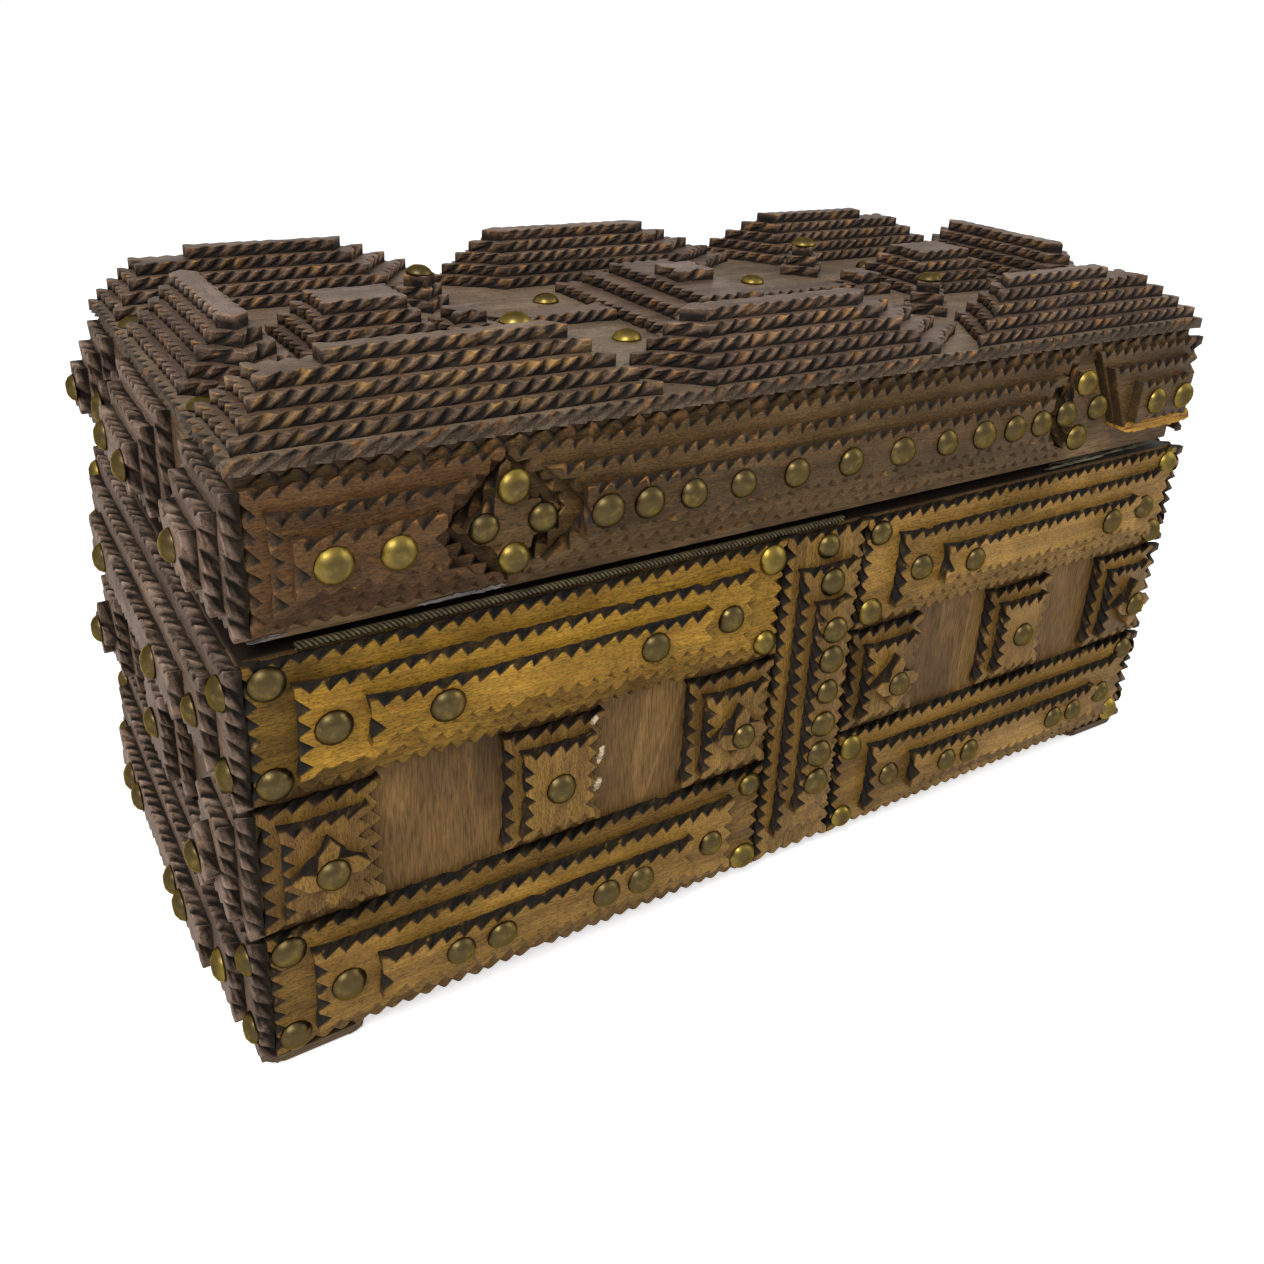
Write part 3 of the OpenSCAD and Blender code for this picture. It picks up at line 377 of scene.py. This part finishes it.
    # The new teeth: tip, notch and tip for each, then the corner at the end of the edge.
    count = 3 * finer + 1
    of = np.repeat(number, count)
    m = np.arange(count.sum()) - np.repeat(np.cumsum(count) - count, count)
    plain = m == 3 * finer[of]
    notch, tip = (m % 3 == 1) & ~plain, (m % 3 != 1) & ~plain
    blunt = tip & (m > 0) & (m < 3 * finer[of] - 1)
    total = len(m)
    rng = np.random.default_rng(seed)
    dull = np.where(blunt, rng.uniform(0.07, 0.17, total), 0)
    gentle, steep, lean = 0.66, 0.34, 0.003
    pace = np.where(m % 3 == 2, (m + 1) // 3 - steep * dull, m // 3 + gentle * dull)
    pace = np.where(notch, (m - 1) // 3 + gentle, pace)
    pace = begin[of] + pitch[of] * pace
    chord, inward = along[of], inside[of]
    ahead = along[np.where(number == last, first, number + 1)][of]
    bent = (chord + ahead) / size(chord + ahead)[:, None]
    chord = np.where(plain[:, None], bent, chord)
    inward = np.where(plain[:, None], np.stack([-bent[:, 1], bent[:, 0]], axis=1), inward)
    depth = np.where(notch, deep[of] * rng.uniform(0.75, 1.05, total), 0)
    tooth = np.cumsum(m % 3 == 2)
    loss = rng.uniform(0, 0.0003, total) + np.where(rng.random(total) < 0.05, 0.001, 0)
    loss = np.where(blunt, loss[tooth] + 0.4 * dull * deep[of], 0)
    stray = rng.normal(0, 0.0002, total)
    stray = np.where(blunt, stray[tooth], np.where(notch, stray, 0))
    slide = np.where(plain, 0, lean * rng.uniform(0.75, 1.15, total))
    slide = np.clip(slide, 0, np.maximum(pace - margin, 0))
    top = np.where(plain[:, None], at[of], start[of] + along[of] * (pace + stray)[:, None])
    top = top + inward * (depth + loss)[:, None]
    level = (verts[used] @ out)[ring[ends]][of]
    band = run[of]

    # Rings from the foot to the face, with walls between them and a face on each loop.
    bevel, undercut, buried = 0.0003, 0.0007, 0.0004
    sunk = np.array([thick + buried, 0.45 * thick, bevel, 0.0, 0.0])
    rub = (bevel * rng.uniform(0.6, 1.4, total))[:, None]
    rows = []
    for drop in sunk:
        share = min(drop / thick, 1)
        row = top - chord * (slide * share)[:, None] - inward * (depth * (1 - keep) * share)[:, None]
        row = row + inward * np.where(tip, undercut * share ** 2, 0)[:, None]
        rows.append(row + (inward * rub if drop == 0 else 0))
    points = np.concatenate([row[:, :1] * side + row[:, 1:] * up + (level - drop)[:, None] * out
                             for row, drop in zip(rows, sunk)])
    opens, closes = np.searchsorted(band, band), np.searchsorted(band, band, side="right") - 1
    i = np.arange(total)
    j = np.where(i == closes, opens, i + 1)
    wall = np.stack([i, j, j + total, i + total], axis=1)
    faces = [i[None, a:b + 1] for a, b in zip(np.unique(opens), np.unique(closes))]

    # Stain, painted shade at the foot, and bare wood by ring, from the foot to the face, each for a plain
    # corner, a tip and a notch.
    kind = np.where(notch, 2, np.where(tip, 1, 0))
    knife = np.array([(foot_shade,) * 3, (0.7 * foot_shade, 0.95 * soak, 0.4 + 0.6 * foot_shade), (0.4, 0.7 * soak, 0.95),
                      (0.1, 0.1 * soak, 0.5), (0, 0, 0)])[:, kind]
    knife = knife * np.where((abs(out[2]) < 0.5) & (inward[:, 1] > 0.6), 0.5, 1.0)
    arris = np.array([(0, 0, 0), (0.15, 0.6, 0.05), (0.6, 1, 0.25), (0.5, 0.9, 0.2), (0, 0, 0)])[:, kind]
    order = np.searchsorted(np.unique(np.round(level, 4)), np.round(level, 4)) + 1
    order = order / order.max()
    arris = arris * (0.5 + 0.5 * order)
    # Painted shade: lower layers are painted darker by depth_shade, and lighter, as painted light, where
    # depth_shade is below zero; each loop also gets a random tone.
    shade = 0.65 - depth_shade * (1 - order) + rng.uniform(-0.2, 0.2, total)[opens]
    shift = rng.uniform(0, 1, (total, 3))[opens]
    fibres = np.stack([top[:, 1 if upright else 0], top[:, 0 if upright else 1], level], axis=1) + shift
    grain = np.concatenate([fibres - np.array([0, 0, drop]) for drop in sunk])
    flats = shade if face_tint is None else np.full(total, face_tint)
    walls = [wall, wall + total, wall + 2 * total]
    put_piece(node + "_carved", points, walls + [f + 4 * total for f in faces] + [f[:, ::-1] for f in faces],
              body, slot, node, material, grain=grain, knife=knife.reshape(-1), arris=arris.reshape(-1),
              tint=np.append(np.tile(shade, 4), flats))


front_y = (0, -1, 0)
edge_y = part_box("base_front")[0].y
second_layer = edge_y - 0.0042
golden = carved_finish("golden_varnish", (0.43, 0.237, 0.027), (0.28, 0.148, 0.020), (0.008, 0.008, 0.008),
                       (0.44, 0.26, 0.08), 0.1, 0.5, 0.6,
                       ((0, -0.148, -0.132, second_layer), (2, 0.072, 0.086)))
honey = carved_finish("honey_varnish", (0.335, 0.185, 0.036), (0.20, 0.107, 0.023), (0.008, 0.008, 0.008),
                      (0.44, 0.26, 0.08), 0.15, 0.5, 0.4, ((2, 0.07, 0.086),))
ochre = carved_finish("ochre_varnish", (0.30, 0.166, 0.032), (0.155, 0.080, 0.018), (0.008, 0.008, 0.007),
                      (0.40, 0.24, 0.08), 0.15, 0.5, 0.35)
umber = carved_finish("umber_varnish", (0.28, 0.156, 0.032), (0.14, 0.072, 0.018), (0.009, 0.007, 0.006),
                      (0.36, 0.20, 0.07), 0.2, 0.48, 0.25)
for seed, (node, varnish) in enumerate((
        ("front_upper_left_band", golden), ("front_upper_right_band", honey),
        ("front_lower_left_band", ochre), ("front_lower_right_band", ochre),
        ("front_column", umber), ("front_blocks", umber))):
    carve(node, "base", "front_wood", front_y, varnish is umber, varnish, 11 + seed)

# Ends of the base: the same layered bands and blocks, darkened by handling and smoke to a grey brown.
# Their arrises are scuffed to a pale grey pink instead of raw orange.
smoked = carved_finish("smoked_wood", (0.25, 0.165, 0.113), (0.13, 0.083, 0.057), (0.010, 0.007, 0.005),
                       (0.33, 0.23, 0.17), 0.55, 0.65)
for seed, node in enumerate(("left_upper_band", "left_lower_band", "left_blocks")):
    carve(node, "base", "dark_wood", (-1, 0, 0), node.endswith("blocks"), smoked, 21 + seed, soak=0.18)
for seed, node in enumerate(("right_upper_band", "right_lower_band", "right_blocks")):
    carve(node, "base", "dark_wood", (1, 0, 0), node.endswith("blocks"), smoked, 24 + seed, soak=0.18)

# Sides of the lid: bands with notched edges that stop at diamonds, cut and stained as the ends are.
# The stain is worn through to raw orange wood on many tips.
lid_stain = carved_finish("lid_stain", (0.125, 0.072, 0.026), (0.058, 0.033, 0.013), (0.009, 0.008, 0.007),
                          (0.27, 0.125, 0.036), 0.4, 0.5, 0.25)
russet_stain = carved_finish("russet_stain", (0.115, 0.058, 0.022), (0.052, 0.026, 0.011),
                             (0.009, 0.008, 0.007), (0.27, 0.125, 0.036), 0.4, 0.5, 0.25)
# depth_shade below zero on the lid's front bands paints the lowest layer lighter: painted light on the layer
# that the rim plate shades.
for seed, node in enumerate(("lid_front_left_band", "lid_front_middle_band", "lid_front_right_band",
                             "lid_front_diamonds")):
    carve(node, "lid", "dark_wood", front_y, False, russet_stain if seed == 0 else lid_stain, 31 + seed,
          soak=0.4, foot_shade=0.6, depth_shade=-0.35)
carve("lid_left_bands", "lid", "dark_wood", (-1, 0, 0), False, smoked, 35, soak=0.18)
carve("lid_right_bands", "lid", "dark_wood", (1, 0, 0), False, smoked, 36, soak=0.18)

# Row under the rim: the deepest layer of the lid's front shows only its coarse, leaf-like teeth between the
# rim plate and the bands. Cut with the same knife and less stained; the whole row is painted darker, as
# painted shade under the plate.


def bar_faces(stations):
    """Faces of a bar with four rails of points, listed front top, back top, back bottom, front bottom: a
    strip of quads between each rail and the next, and a quad on each end."""
    k, rails = np.arange(stations - 1), np.arange(4) * stations
    strips = [np.stack([a + k, a + k + 1, b + k + 1, b + k], axis=1)
              for a, b in zip(rails, np.roll(rails, -1))]
    return strips + [np.stack([rails, (rails + stations - 1)[[1, 0, 3, 2]]])]


lid_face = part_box("lid_front")[0].y
leaf_top, leaf_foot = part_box("lid_rim")[0].z - 0.0002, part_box("lid_front_left_band")[1].z - 0.003
left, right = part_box("lid_front")[0].x + 0.002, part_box("lid_front")[1].x - 0.002
leaf_pitch, leaf_lean, leaf_depth = 0.0062, 0.68, 0.0036
proud, let_in, groove_slide, groove_keep = 0.0013, 0.0002, 0.0012, 0.6
leaves = int((right - left) / leaf_pitch)
station = np.arange(2 * leaves + 1)
stations, tip = len(station), station % 2
rng = np.random.default_rng(38)
x = left + (right - left) * (station // 2 + leaf_lean * tip) / leaves
tall = np.where(tip, rng.uniform(0, 0.0008, stations), leaf_depth + rng.uniform(-0.0006, 0.0006, stations))
foot = np.full(stations, leaf_foot)
rails = ((x, lid_face - proud, leaf_top - tall),
         (x + groove_slide * (1 - tip), lid_face + let_in, leaf_top - groove_keep * tall),
         (x, lid_face + let_in, foot), (x, lid_face - proud, foot))
points = np.concatenate([np.column_stack([along, np.full(stations, depth), height])
                         for along, depth, height in rails])
groove, none = np.where(tip, 0.15, 1.0), np.zeros(stations)
# Painted shade: a tint of 0.3 darkens the whole row, for the shade under the rim plate.
put_piece("lid_front_leaf_row", points, bar_faces(stations), "lid", "dark_wood", None, lid_stain,
          grain=points + 0.7, knife=np.concatenate([0.5 * groove, groove, groove, none]),
          arris=np.concatenate([0.8 * (1 - groove), none, none, none]), tint=np.full(4 * stations, 0.3))

# Broken lower edge of the lid's right short band: the layers split away along the grain and left a slope of
# raw, ochre wood that nobody stained again.


def raw_wood(name, deep, pale):
    """Torn wood: fibres along the grain, with darker threads."""
    mat, add, wire = blank(name, 0.8, specular=0.1)
    place = add("TexCoord", out=3)
    torn = grained(add, place, (60.0, 900.0, 900.0), 1.0, 3.0)
    wire("Base Color", ramp(add, torn, [(0.34, deep), (0.62, pale)]))
    wire("Normal", add("Bump", Strength=0.7, Distance=0.0004, Height=torn))
    return mat


torn_ochre = raw_wood("raw_wood", (0.10, 0.042, 0.012), (0.52, 0.27, 0.05))
verts = merged("lid_front_right_band")[0]
lowest = verts[verts[:, 2] < verts[:, 2].min() + 0.0002]
ply, stations = lowest[:, 1].min(), 60
t = np.linspace(0, 1, stations)
ragged = 0.75 + 0.25 * np.sin(37 * t) * np.sin(11 * t + 1) + 0.12 * np.sin(83 * t + 2)
x = lowest[:, 0].min() - 0.0005 + t * (lowest[:, 0].max() - lowest[:, 0].min() + 0.0005)
taper = np.minimum(1, 12 * t) * np.minimum(1, 9 * (1 - t))
crest = lowest[0, 2] + 0.001 + 0.0048 * ragged * taper
foot = lowest[0, 2] - 0.0012 * ragged[::-1] * taper
front, back = np.full(stations, ply), np.full(stations, lid_face - 0.0002)
section = ((front - 0.0012 * taper, crest), (back, crest - 0.0002),
           (back, foot), (front - 0.0003, foot - 0.0002))
slope = np.concatenate([np.stack([x, depth, height], axis=1) for depth, height in section])
put_piece("lid_break", slope, bar_faces(stations), "lid", "dark_wood", None, torn_ochre)

# Splinters: slivers torn off along the seam and chips at a block's broken edge, still hanging on.
# Bare wood that has gone grey, or is fresh and pale where the chips came away.


def sliver(name, body, start, end, wide, high, material, seed):
    """A lozenge carried from start to end. Its width swells as the root of a sine, torn by seeded noise, so
    that both ends are points."""
    start, end = np.array(start), np.array(end)
    along = (end - start) / np.linalg.norm(end - start)
    across = np.cross(along, (0, 0, 1)) if abs(along[2]) < 0.9 else np.cross(along, (0, 1, 0))
    across = across / np.linalg.norm(across)
    over = np.cross(across, along)
    rng = np.random.default_rng(seed)
    ring_count = 16
    t = np.linspace(0, 1, ring_count)
    swell = (np.sqrt(np.sin(np.pi * (0.04 + 0.92 * t))) * rng.uniform(0.55, 1.0, ring_count))[:, None]
    middle = start + t[:, None] * (end - start) + rng.normal(0, 0.1 * high, ring_count)[:, None] * over
    ring = np.stack([middle + across * wide / 2 * swell, middle + over * high / 2 * swell,
                     middle - across * wide / 2 * swell, middle - over * high / 2 * swell], axis=1)
    caps = np.stack([np.arange(4), 4 * ring_count - 1 - np.arange(4)])
    put_piece(name, ring.reshape(-1, 3), [tube_walls(ring_count, 4)[:, [0, 3, 2, 1]], caps], body,
              "board_wood", None, material)


grey_splinter = raw_wood("grey_splinter", (0.035, 0.03, 0.022), (0.17, 0.15, 0.10))
pale_splinter = raw_wood("pale_splinter", (0.12, 0.10, 0.095), (0.46, 0.42, 0.40))
fresh_chip = raw_wood("fresh_chip", (0.22, 0.15, 0.08), (0.60, 0.50, 0.34))
lid_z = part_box("lid_front")[0].z
seam = lid_z - base_top
for number, (x0, x1) in enumerate(((0.0950, 0.1245), (0.1235, 0.1510), (0.1000, 0.1400))):
    depth = edge_y + 0.0012 * number
    sliver("seam_splinter_" + str(number), "base", (x0, depth + 0.0009, base_top + 0.3 * seam),
           (x1, depth + 0.0012, base_top + 0.4 * seam), 0.0024, 0.6 * seam, grey_splinter, 71 + number)
for number, (x0, x1) in enumerate(((-0.1180, -0.1035), (-0.1045, -0.0955), (-0.1560, -0.1475))):
    sliver("lid_splinter_" + str(number), "lid", (x0, lid_face - 0.0003, lid_z + 0.0006),
           (x1, lid_face - 0.0003, lid_z + 0.0009), 0.0014, 0.0013, pale_splinter, 81 + number)
for number, (x, z, tall) in enumerate(((-0.0745, 0.0752, 0.0024), (-0.0722, 0.0640, 0.0052),
                                       (-0.0728, 0.0550, 0.0040))):
    sliver("block_chip_" + str(number), "base", (x, edge_y - 0.0058, z - tall / 2),
           (x + 0.0012, edge_y - 0.0062, z + tall / 2), 0.0026, 0.0018, fresh_chip, 91 + number)

# Top of the lid: a rim plate with a notched edge, and on it the stepped mounds, the ridge and the small
# rosettes. Their stacked edges read as rows of rope, dust has greyed the flats, and hands have rubbed the
# front left mound to golden wood.
up_z = (0, 0, 1)
rim_stain = carved_finish("rim_stain", (0.165, 0.115, 0.075), (0.105, 0.073, 0.047), (0.010, 0.007, 0.005),
                          (0.34, 0.15, 0.05), 0.45, 0.55)
dusted = carved_finish("dusted_wood", (0.29, 0.185, 0.124), (0.145, 0.090, 0.060), (0.008, 0.006, 0.005),
                       (0.40, 0.20, 0.06), 0.42, 0.5)
rubbed = carved_finish("rubbed_wood", (0.30, 0.190, 0.118), (0.155, 0.096, 0.058), (0.008, 0.006, 0.005),
                       (0.45, 0.25, 0.07), 0.5, 0.5)
carve("lid_rim", "lid", "dark_wood", up_z, False, rim_stain, 41, thick=0.003, keep=0.0, soak=0.4, foot_shade=0.25,
      depth_shade=0.0, face_tint=1.0)
for seed, node in enumerate(("front_left_mound", "front_middle_mound", "front_right_mound", "back_left_mound",
                             "back_middle_mound", "back_right_mound", "left_end_mound", "right_end_mound",
                             "left_inner_mound", "right_inner_mound", "lid_ridge", "lid_rosettes")):
    carve(node, "lid", "dark_wood", up_z, node.startswith(("left_end", "right_end")),
          rubbed if seed == 0 else dusted, 42 + seed, soak=0.18, face_tint=0.1)

# Tacks: thin brass caps pressed over a steel shank, driven through the layers until the rim seats.
# Most have gone an olive brown; a few are still bright, most of all round their rims.


def tack_brass():
    """Old brass: bright metal under an olive film thicker on the crown, that differs from tack to tack."""
    mat, add, wire = blank("tack_brass", 0.28, metallic=1.0)
    mat.node_tree.nodes["Principled BSDF"].inputs["Specular Tint"].default_value = (0.62, 0.54, 0.40, 1)
    place = add("TexCoord", out=3)
    film = add("TexNoise", Vector=place, Scale=420.0, Detail=4.0, Roughness=0.6)
    fine = add("TexNoise", Vector=place, Scale=1900.0, Detail=3.0, Roughness=0.6)
    bright = add("Attribute", out=2, settings={"attribute_name": "bright"})
    crown = add("Attribute", out=2, settings={"attribute_name": "crown"})
    share = worked(add, "SUBTRACT", bright, worked(add, "MULTIPLY", crown, 0.75))
    share = worked(add, "ADD", share, ramp(add, film, [(0.5, (0.0,)), (0.8, (0.3,))]))
    wire("Base Color", mixed(add, share, (0.070, 0.051, 0.022, 1), (0.32, 0.225, 0.040, 1)))
    wire("Roughness", ramp(add, film, [(0.3, (0.46,)), (0.7, (0.3,))]))
    wire("Normal", add("Bump", Strength=0.12, Distance=0.0002, Height=fine))
    return mat


def drive(node, body, outward, seed, material, shiny=lambda peak: 0.2):
    """Tacks in place of a node of tacks. Corners that share triangles belong to one tack, and the box round
    them gives its axis and its crown; each cap is a profile (radius, height) turned round that axis and
    leaned. The chance that a tack is still bright comes from its place."""
    out, up, side = facing(outward)
    verts, tri = merged(node)
    label = np.arange(len(verts))
    for step in range(40):
        np.minimum.at(label, tri.reshape(-1), np.repeat(label[tri].min(axis=1), 3))
        label = label[label]
    which = np.unique(label, return_inverse=True)[1].reshape(-1)
    spot = np.stack([verts @ side, verts @ up, verts @ out], axis=1)
    low, high = np.full((which.max() + 1, 3), 9.0), np.full((which.max() + 1, 3), -9.0)
    np.minimum.at(low, which, spot)
    np.maximum.at(high, which, spot)
    peak = np.concatenate([(low + high)[:, :2] / 2, high[:, 2:]], axis=1)
    peak = peak[peak[:, 2] > 0]
    count, turns = len(peak), 14
    rng = np.random.default_rng(seed)
    radius = np.array([1.0, 0.97, 0.8, 0.46, 0.0])
    height = np.array([0.0, 0.2, 0.6, 0.92, 1.0])
    angle = np.arange(turns) * 2 * np.pi / turns
    scale = rng.uniform(0.86, 1.0, count)[:, None, None]
    lean = rng.normal(0, 0.035, (count, 2))
    cap_radius, cap_height = 0.0045, 0.0027
    x = cap_radius * scale * radius[:, None] * np.cos(angle)
    y = cap_radius * scale * radius[:, None] * np.sin(angle)
    z = cap_height * (0.5 + 0.5 * scale) * height[:, None] * np.ones(turns)
    tilt = np.maximum(x * lean[:, 0, None, None] + y * lean[:, 1, None, None], -z * 0.5)
    z = np.minimum(z + tilt, cap_height)
    points = ((peak[:, 0, None, None] + x)[..., None] * side + (peak[:, 1, None, None] + y)[..., None] * up
              + (peak[:, 2, None, None] - cap_height + z)[..., None] * out)
    # A tack has as many faces as points: three rows of quads, a fan round the crown and the flat underside.
    each = 4 * turns + 1
    points = points.reshape(count, -1, 3)[:, :each].reshape(-1, 3)
    upper = np.arange(turns) + 3 * turns
    fan = np.stack([upper, np.roll(upper, -1), np.full(turns, each - 1)], axis=1)
    first = np.arange(count)[:, None, None] * each
    bright = np.where(rng.random(count) < shiny(peak), rng.uniform(0.45, 0.9, count),
                      rng.uniform(0, 0.12, count))
    put_piece(node + "_brass" + str(seed), points,
              [(tube_walls(4, turns) + first).reshape(-1, 4), (fan + first).reshape(-1, 3),
               np.arange(turns)[::-1] + first[:, 0]],
              body, "tack_brass", node, material, smooth=np.arange(count * each) < count * (each - 1),
              bright=np.repeat(bright, each),
              crown=np.tile(np.append(np.repeat(height[:4], turns), 1.0), count))


old_brass = tack_brass()
drive("front_tacks", "base", front_y, 61, old_brass,
      lambda peak: np.where((peak[:, 2] < peak[:, 2].min() + 0.001) & (peak[:, 0] > -0.14), 0.85, 0.0))
drive("end_tacks", "base", (-1, 0, 0), 62, old_brass)
drive("end_tacks", "base", (1, 0, 0), 63, old_brass)
drive("lid_front_tacks", "lid", front_y, 64, old_brass,
      lambda peak: np.where((np.abs(peak[:, 1] - np.median(peak[:, 1])) > 0.004)
                            | (np.abs(peak[:, 0]) > 0.115), 1.0, 0.0))
drive("lid_end_tacks", "lid", (-1, 0, 0), 65, old_brass)
drive("lid_end_tacks", "lid", (1, 0, 0), 66, old_brass)
drive("lid_top_tacks", "lid", up_z, 67, old_brass)

# Braid: what is left of a dark twisted trimming glued on the base's top front edge, close under the lid.
# Three strands turn round each other and the dust on them has gone grey.


def braid_cloth():
    """Dark thread, greyed by dust in patches on the strands' backs, and painted black as shade in the
    crevices between them.
    """
    mat, add, wire = blank("braid_cloth", 0.9, specular=0.15)
    place = add("TexCoord", out=3)
    dust = add("TexNoise", Vector=place, Scale=700.0, Detail=4.0, Roughness=0.7)
    crest = add("Attribute", out=2, settings={"attribute_name": "crest"})
    thread = ramp(add, dust, [(0.3, (0.035, 0.028, 0.015)), (0.7, (0.19, 0.155, 0.080))])
    # Painted shade: the crest attribute darkens the thread towards the braid's axis, between the strands.
    between = ramp(add, crest, [(0.66, (0.06,)), (0.97, (1.0,))])
    wire("Base Color", mixed(add, 1.0, thread, between, "MULTIPLY"))
    wire("Normal", add("Bump", Strength=0.5, Distance=0.0003, Height=dust))
    return mat


low, high = np.array(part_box("seam_braid"))
steps, sides, twist = 420, 7, 0.0036
along = low[0] + np.linspace(0, 1, steps) * (high[0] - low[0])
middle, reach = (low + high) / 2, (high[2] - low[2]) / 2
offset, thread = 0.45 * reach, 0.54 * reach
around = np.arange(sides) * 2 * np.pi / sides
ends = np.stack([np.arange(sides)[::-1], np.arange(sides) + (steps - 1) * sides])
strand_verts, strand_faces = [], []
for strand in range(3):
    phase = 2 * np.pi * along / twist + strand * np.pi * 2 / 3
    rows = np.stack([np.repeat(along[:, None], sides, axis=1),
                     (middle[1] + offset * np.cos(phase))[:, None] + thread * np.cos(around),
                     (middle[2] + offset * np.sin(phase))[:, None] + thread * np.sin(around)], axis=2)
    first = strand * steps * sides
    strand_faces += [tube_walls(steps, sides) + first, ends + first]
    strand_verts.append(rows.reshape(-1, 3))
strand_verts = np.concatenate(strand_verts)
put_piece("seam_braid_strands", strand_verts, strand_faces, "base", "braid", "seam_braid", braid_cloth(),
          smooth=True, crest=np.hypot(strand_verts[:, 1] - middle[1], strand_verts[:, 2] - middle[2]) / reach)

# Hinges: small pressed-steel butts let in between the back boards, with their pins and countersunk screws.
# They have rusted to a dull grey brown.


def hinge_steel():
    """Dull steel with brown rust in patches."""
    mat, add, wire = blank("hinge_steel", 0.5, metallic=0.9)
    place = add("TexCoord", out=3)
    rust = add("TexNoise", Vector=place, Scale=260.0, Detail=5.0, Roughness=0.65)
    wire("Base Color", ramp(add, rust, [(0.4, (0.30, 0.28, 0.25)), (0.65, (0.11, 0.06, 0.035))]))
    wire("Roughness", ramp(add, rust, [(0.4, (0.42,)), (0.65, (0.85,))]))
    wire("Normal", add("Bump", Strength=0.2, Distance=0.0002, Height=rust))
    return mat


dull_steel = hinge_steel()
for node in ("left_hinge_base_leaf", "left_hinge_lid_leaf", "left_hinge_pin", "right_hinge_base_leaf",
             "right_hinge_lid_leaf", "right_hinge_pin", "base_hinge_screws", "lid_hinge_screws"):
    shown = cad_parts[node]
    shown.data.materials.clear()
    shown.data.materials.append(dull_steel)

# Floor, light and camera: a white sweep, a broad soft lamp over the front left, a weaker one on the right,
# and the photograph's own view from the front left.


def shown_white(tree):
    """Adds up the rays that see the background: from the camera, from gloss and through glass."""
    path = tree.nodes.new("ShaderNodeLightPath")
    total = path.outputs["Is Camera Ray"]
    for kind in ("Is Glossy Ray", "Is Transmission Ray"):
        both = tree.nodes.new("ShaderNodeMath")
        both.operation = "MAXIMUM"
        tree.links.new(total, both.inputs[0])
        tree.links.new(path.outputs[kind], both.inputs[1])
        total = both.outputs[0]
    return total


pale, add, wire = blank("pale_floor", 0.9, specular=0.1)
wire("Base Color", ramp(add, add("TexNoise", Scale=3.0), [(0.0, (0.84,)), (1.0, (0.88,))]))
wire("Emission Color", ramp(add, shown_white(pale.node_tree), [(0.0, (0.0,)), (1.0, (0.58,))]))
pale.node_tree.nodes["Principled BSDF"].inputs["Emission Strength"].default_value = 1.0
across = 7
grid = np.linspace(-3, 3, across)
gx, gy = np.meshgrid(grid, grid, indexing="ij")
floor_mesh = bpy.data.meshes.new("floor")
cell = np.arange((across - 1) ** 2)
corner = cell // (across - 1) * across + cell % (across - 1)
floor_mesh.from_pydata(np.stack([gx.ravel(), gy.ravel(), np.full(across ** 2, -0.0002)], axis=1).tolist(), [],
                       np.stack([corner, corner + across, corner + across + 1, corner + 1], axis=1).tolist())
floor_mesh.materials.append(pale)
floor = bpy.data.objects.new("floor", floor_mesh)
bpy.context.scene.collection.objects.link(floor)

world = bpy.data.worlds.new("studio")
bpy.context.scene.world = world
world.use_nodes = True
sky = world.node_tree
fill = sky.nodes["Background"]
fill.inputs["Color"].default_value = (1, 1, 1, 1)
fill.inputs["Strength"].default_value = 0.5
white = sky.nodes.new("ShaderNodeBackground")
white.inputs["Color"].default_value = (1, 1, 1, 1)
swap = sky.nodes.new("ShaderNodeMixShader")
sky.links.new(shown_white(sky), swap.inputs[0])
sky.links.new(fill.outputs[0], swap.inputs[1])
sky.links.new(white.outputs[0], swap.inputs[2])
sky.links.new(swap.outputs[0], sky.nodes["World Output"].inputs["Surface"])


def lamp(name, place, aim, size, power):
    """A square soft lamp at a place, turned to its aim."""
    light = bpy.data.lights.new(name, "AREA")
    light.size = size
    light.energy = power
    shade = bpy.data.objects.new(name, light)
    bpy.context.scene.collection.objects.link(shade)
    shade.location = place
    back = np.array(place) - np.array(aim)
    back = back / np.linalg.norm(back)
    right = np.cross((0, 0, 1), back)
    right = right / np.linalg.norm(right)
    turn = np.stack([right, np.cross(back, right), back], axis=1)
    shade.rotation_euler = Matrix(turn.tolist()).to_euler()


lamp("key", (-0.8, -0.6, 1.2), (0, 0, 0.08), 0.6, 17)
lamp("right", (1.2, -0.5, 0.7), (0, 0, 0.08), 0.9, 7)

view = bpy.data.cameras.new("view")
view.sensor_width = 36
view.lens = 33.305
view.shift_x = 0.0039
view.shift_y = -0.0996
view.clip_start = 0.02
camera = bpy.data.objects.new("view", view)
bpy.context.scene.collection.objects.link(camera)
camera.matrix_world = Matrix((
    (0.84612, 0.17008, -0.50512, -0.20732),
    (-0.53089, 0.35294, -0.77045, -0.28676),
    (0.04724, 0.92006, 0.38892, 0.24059),
    (0, 0, 0, 1)))
bpy.context.scene.camera = camera
bpy.context.scene.view_settings.view_transform = "Standard"
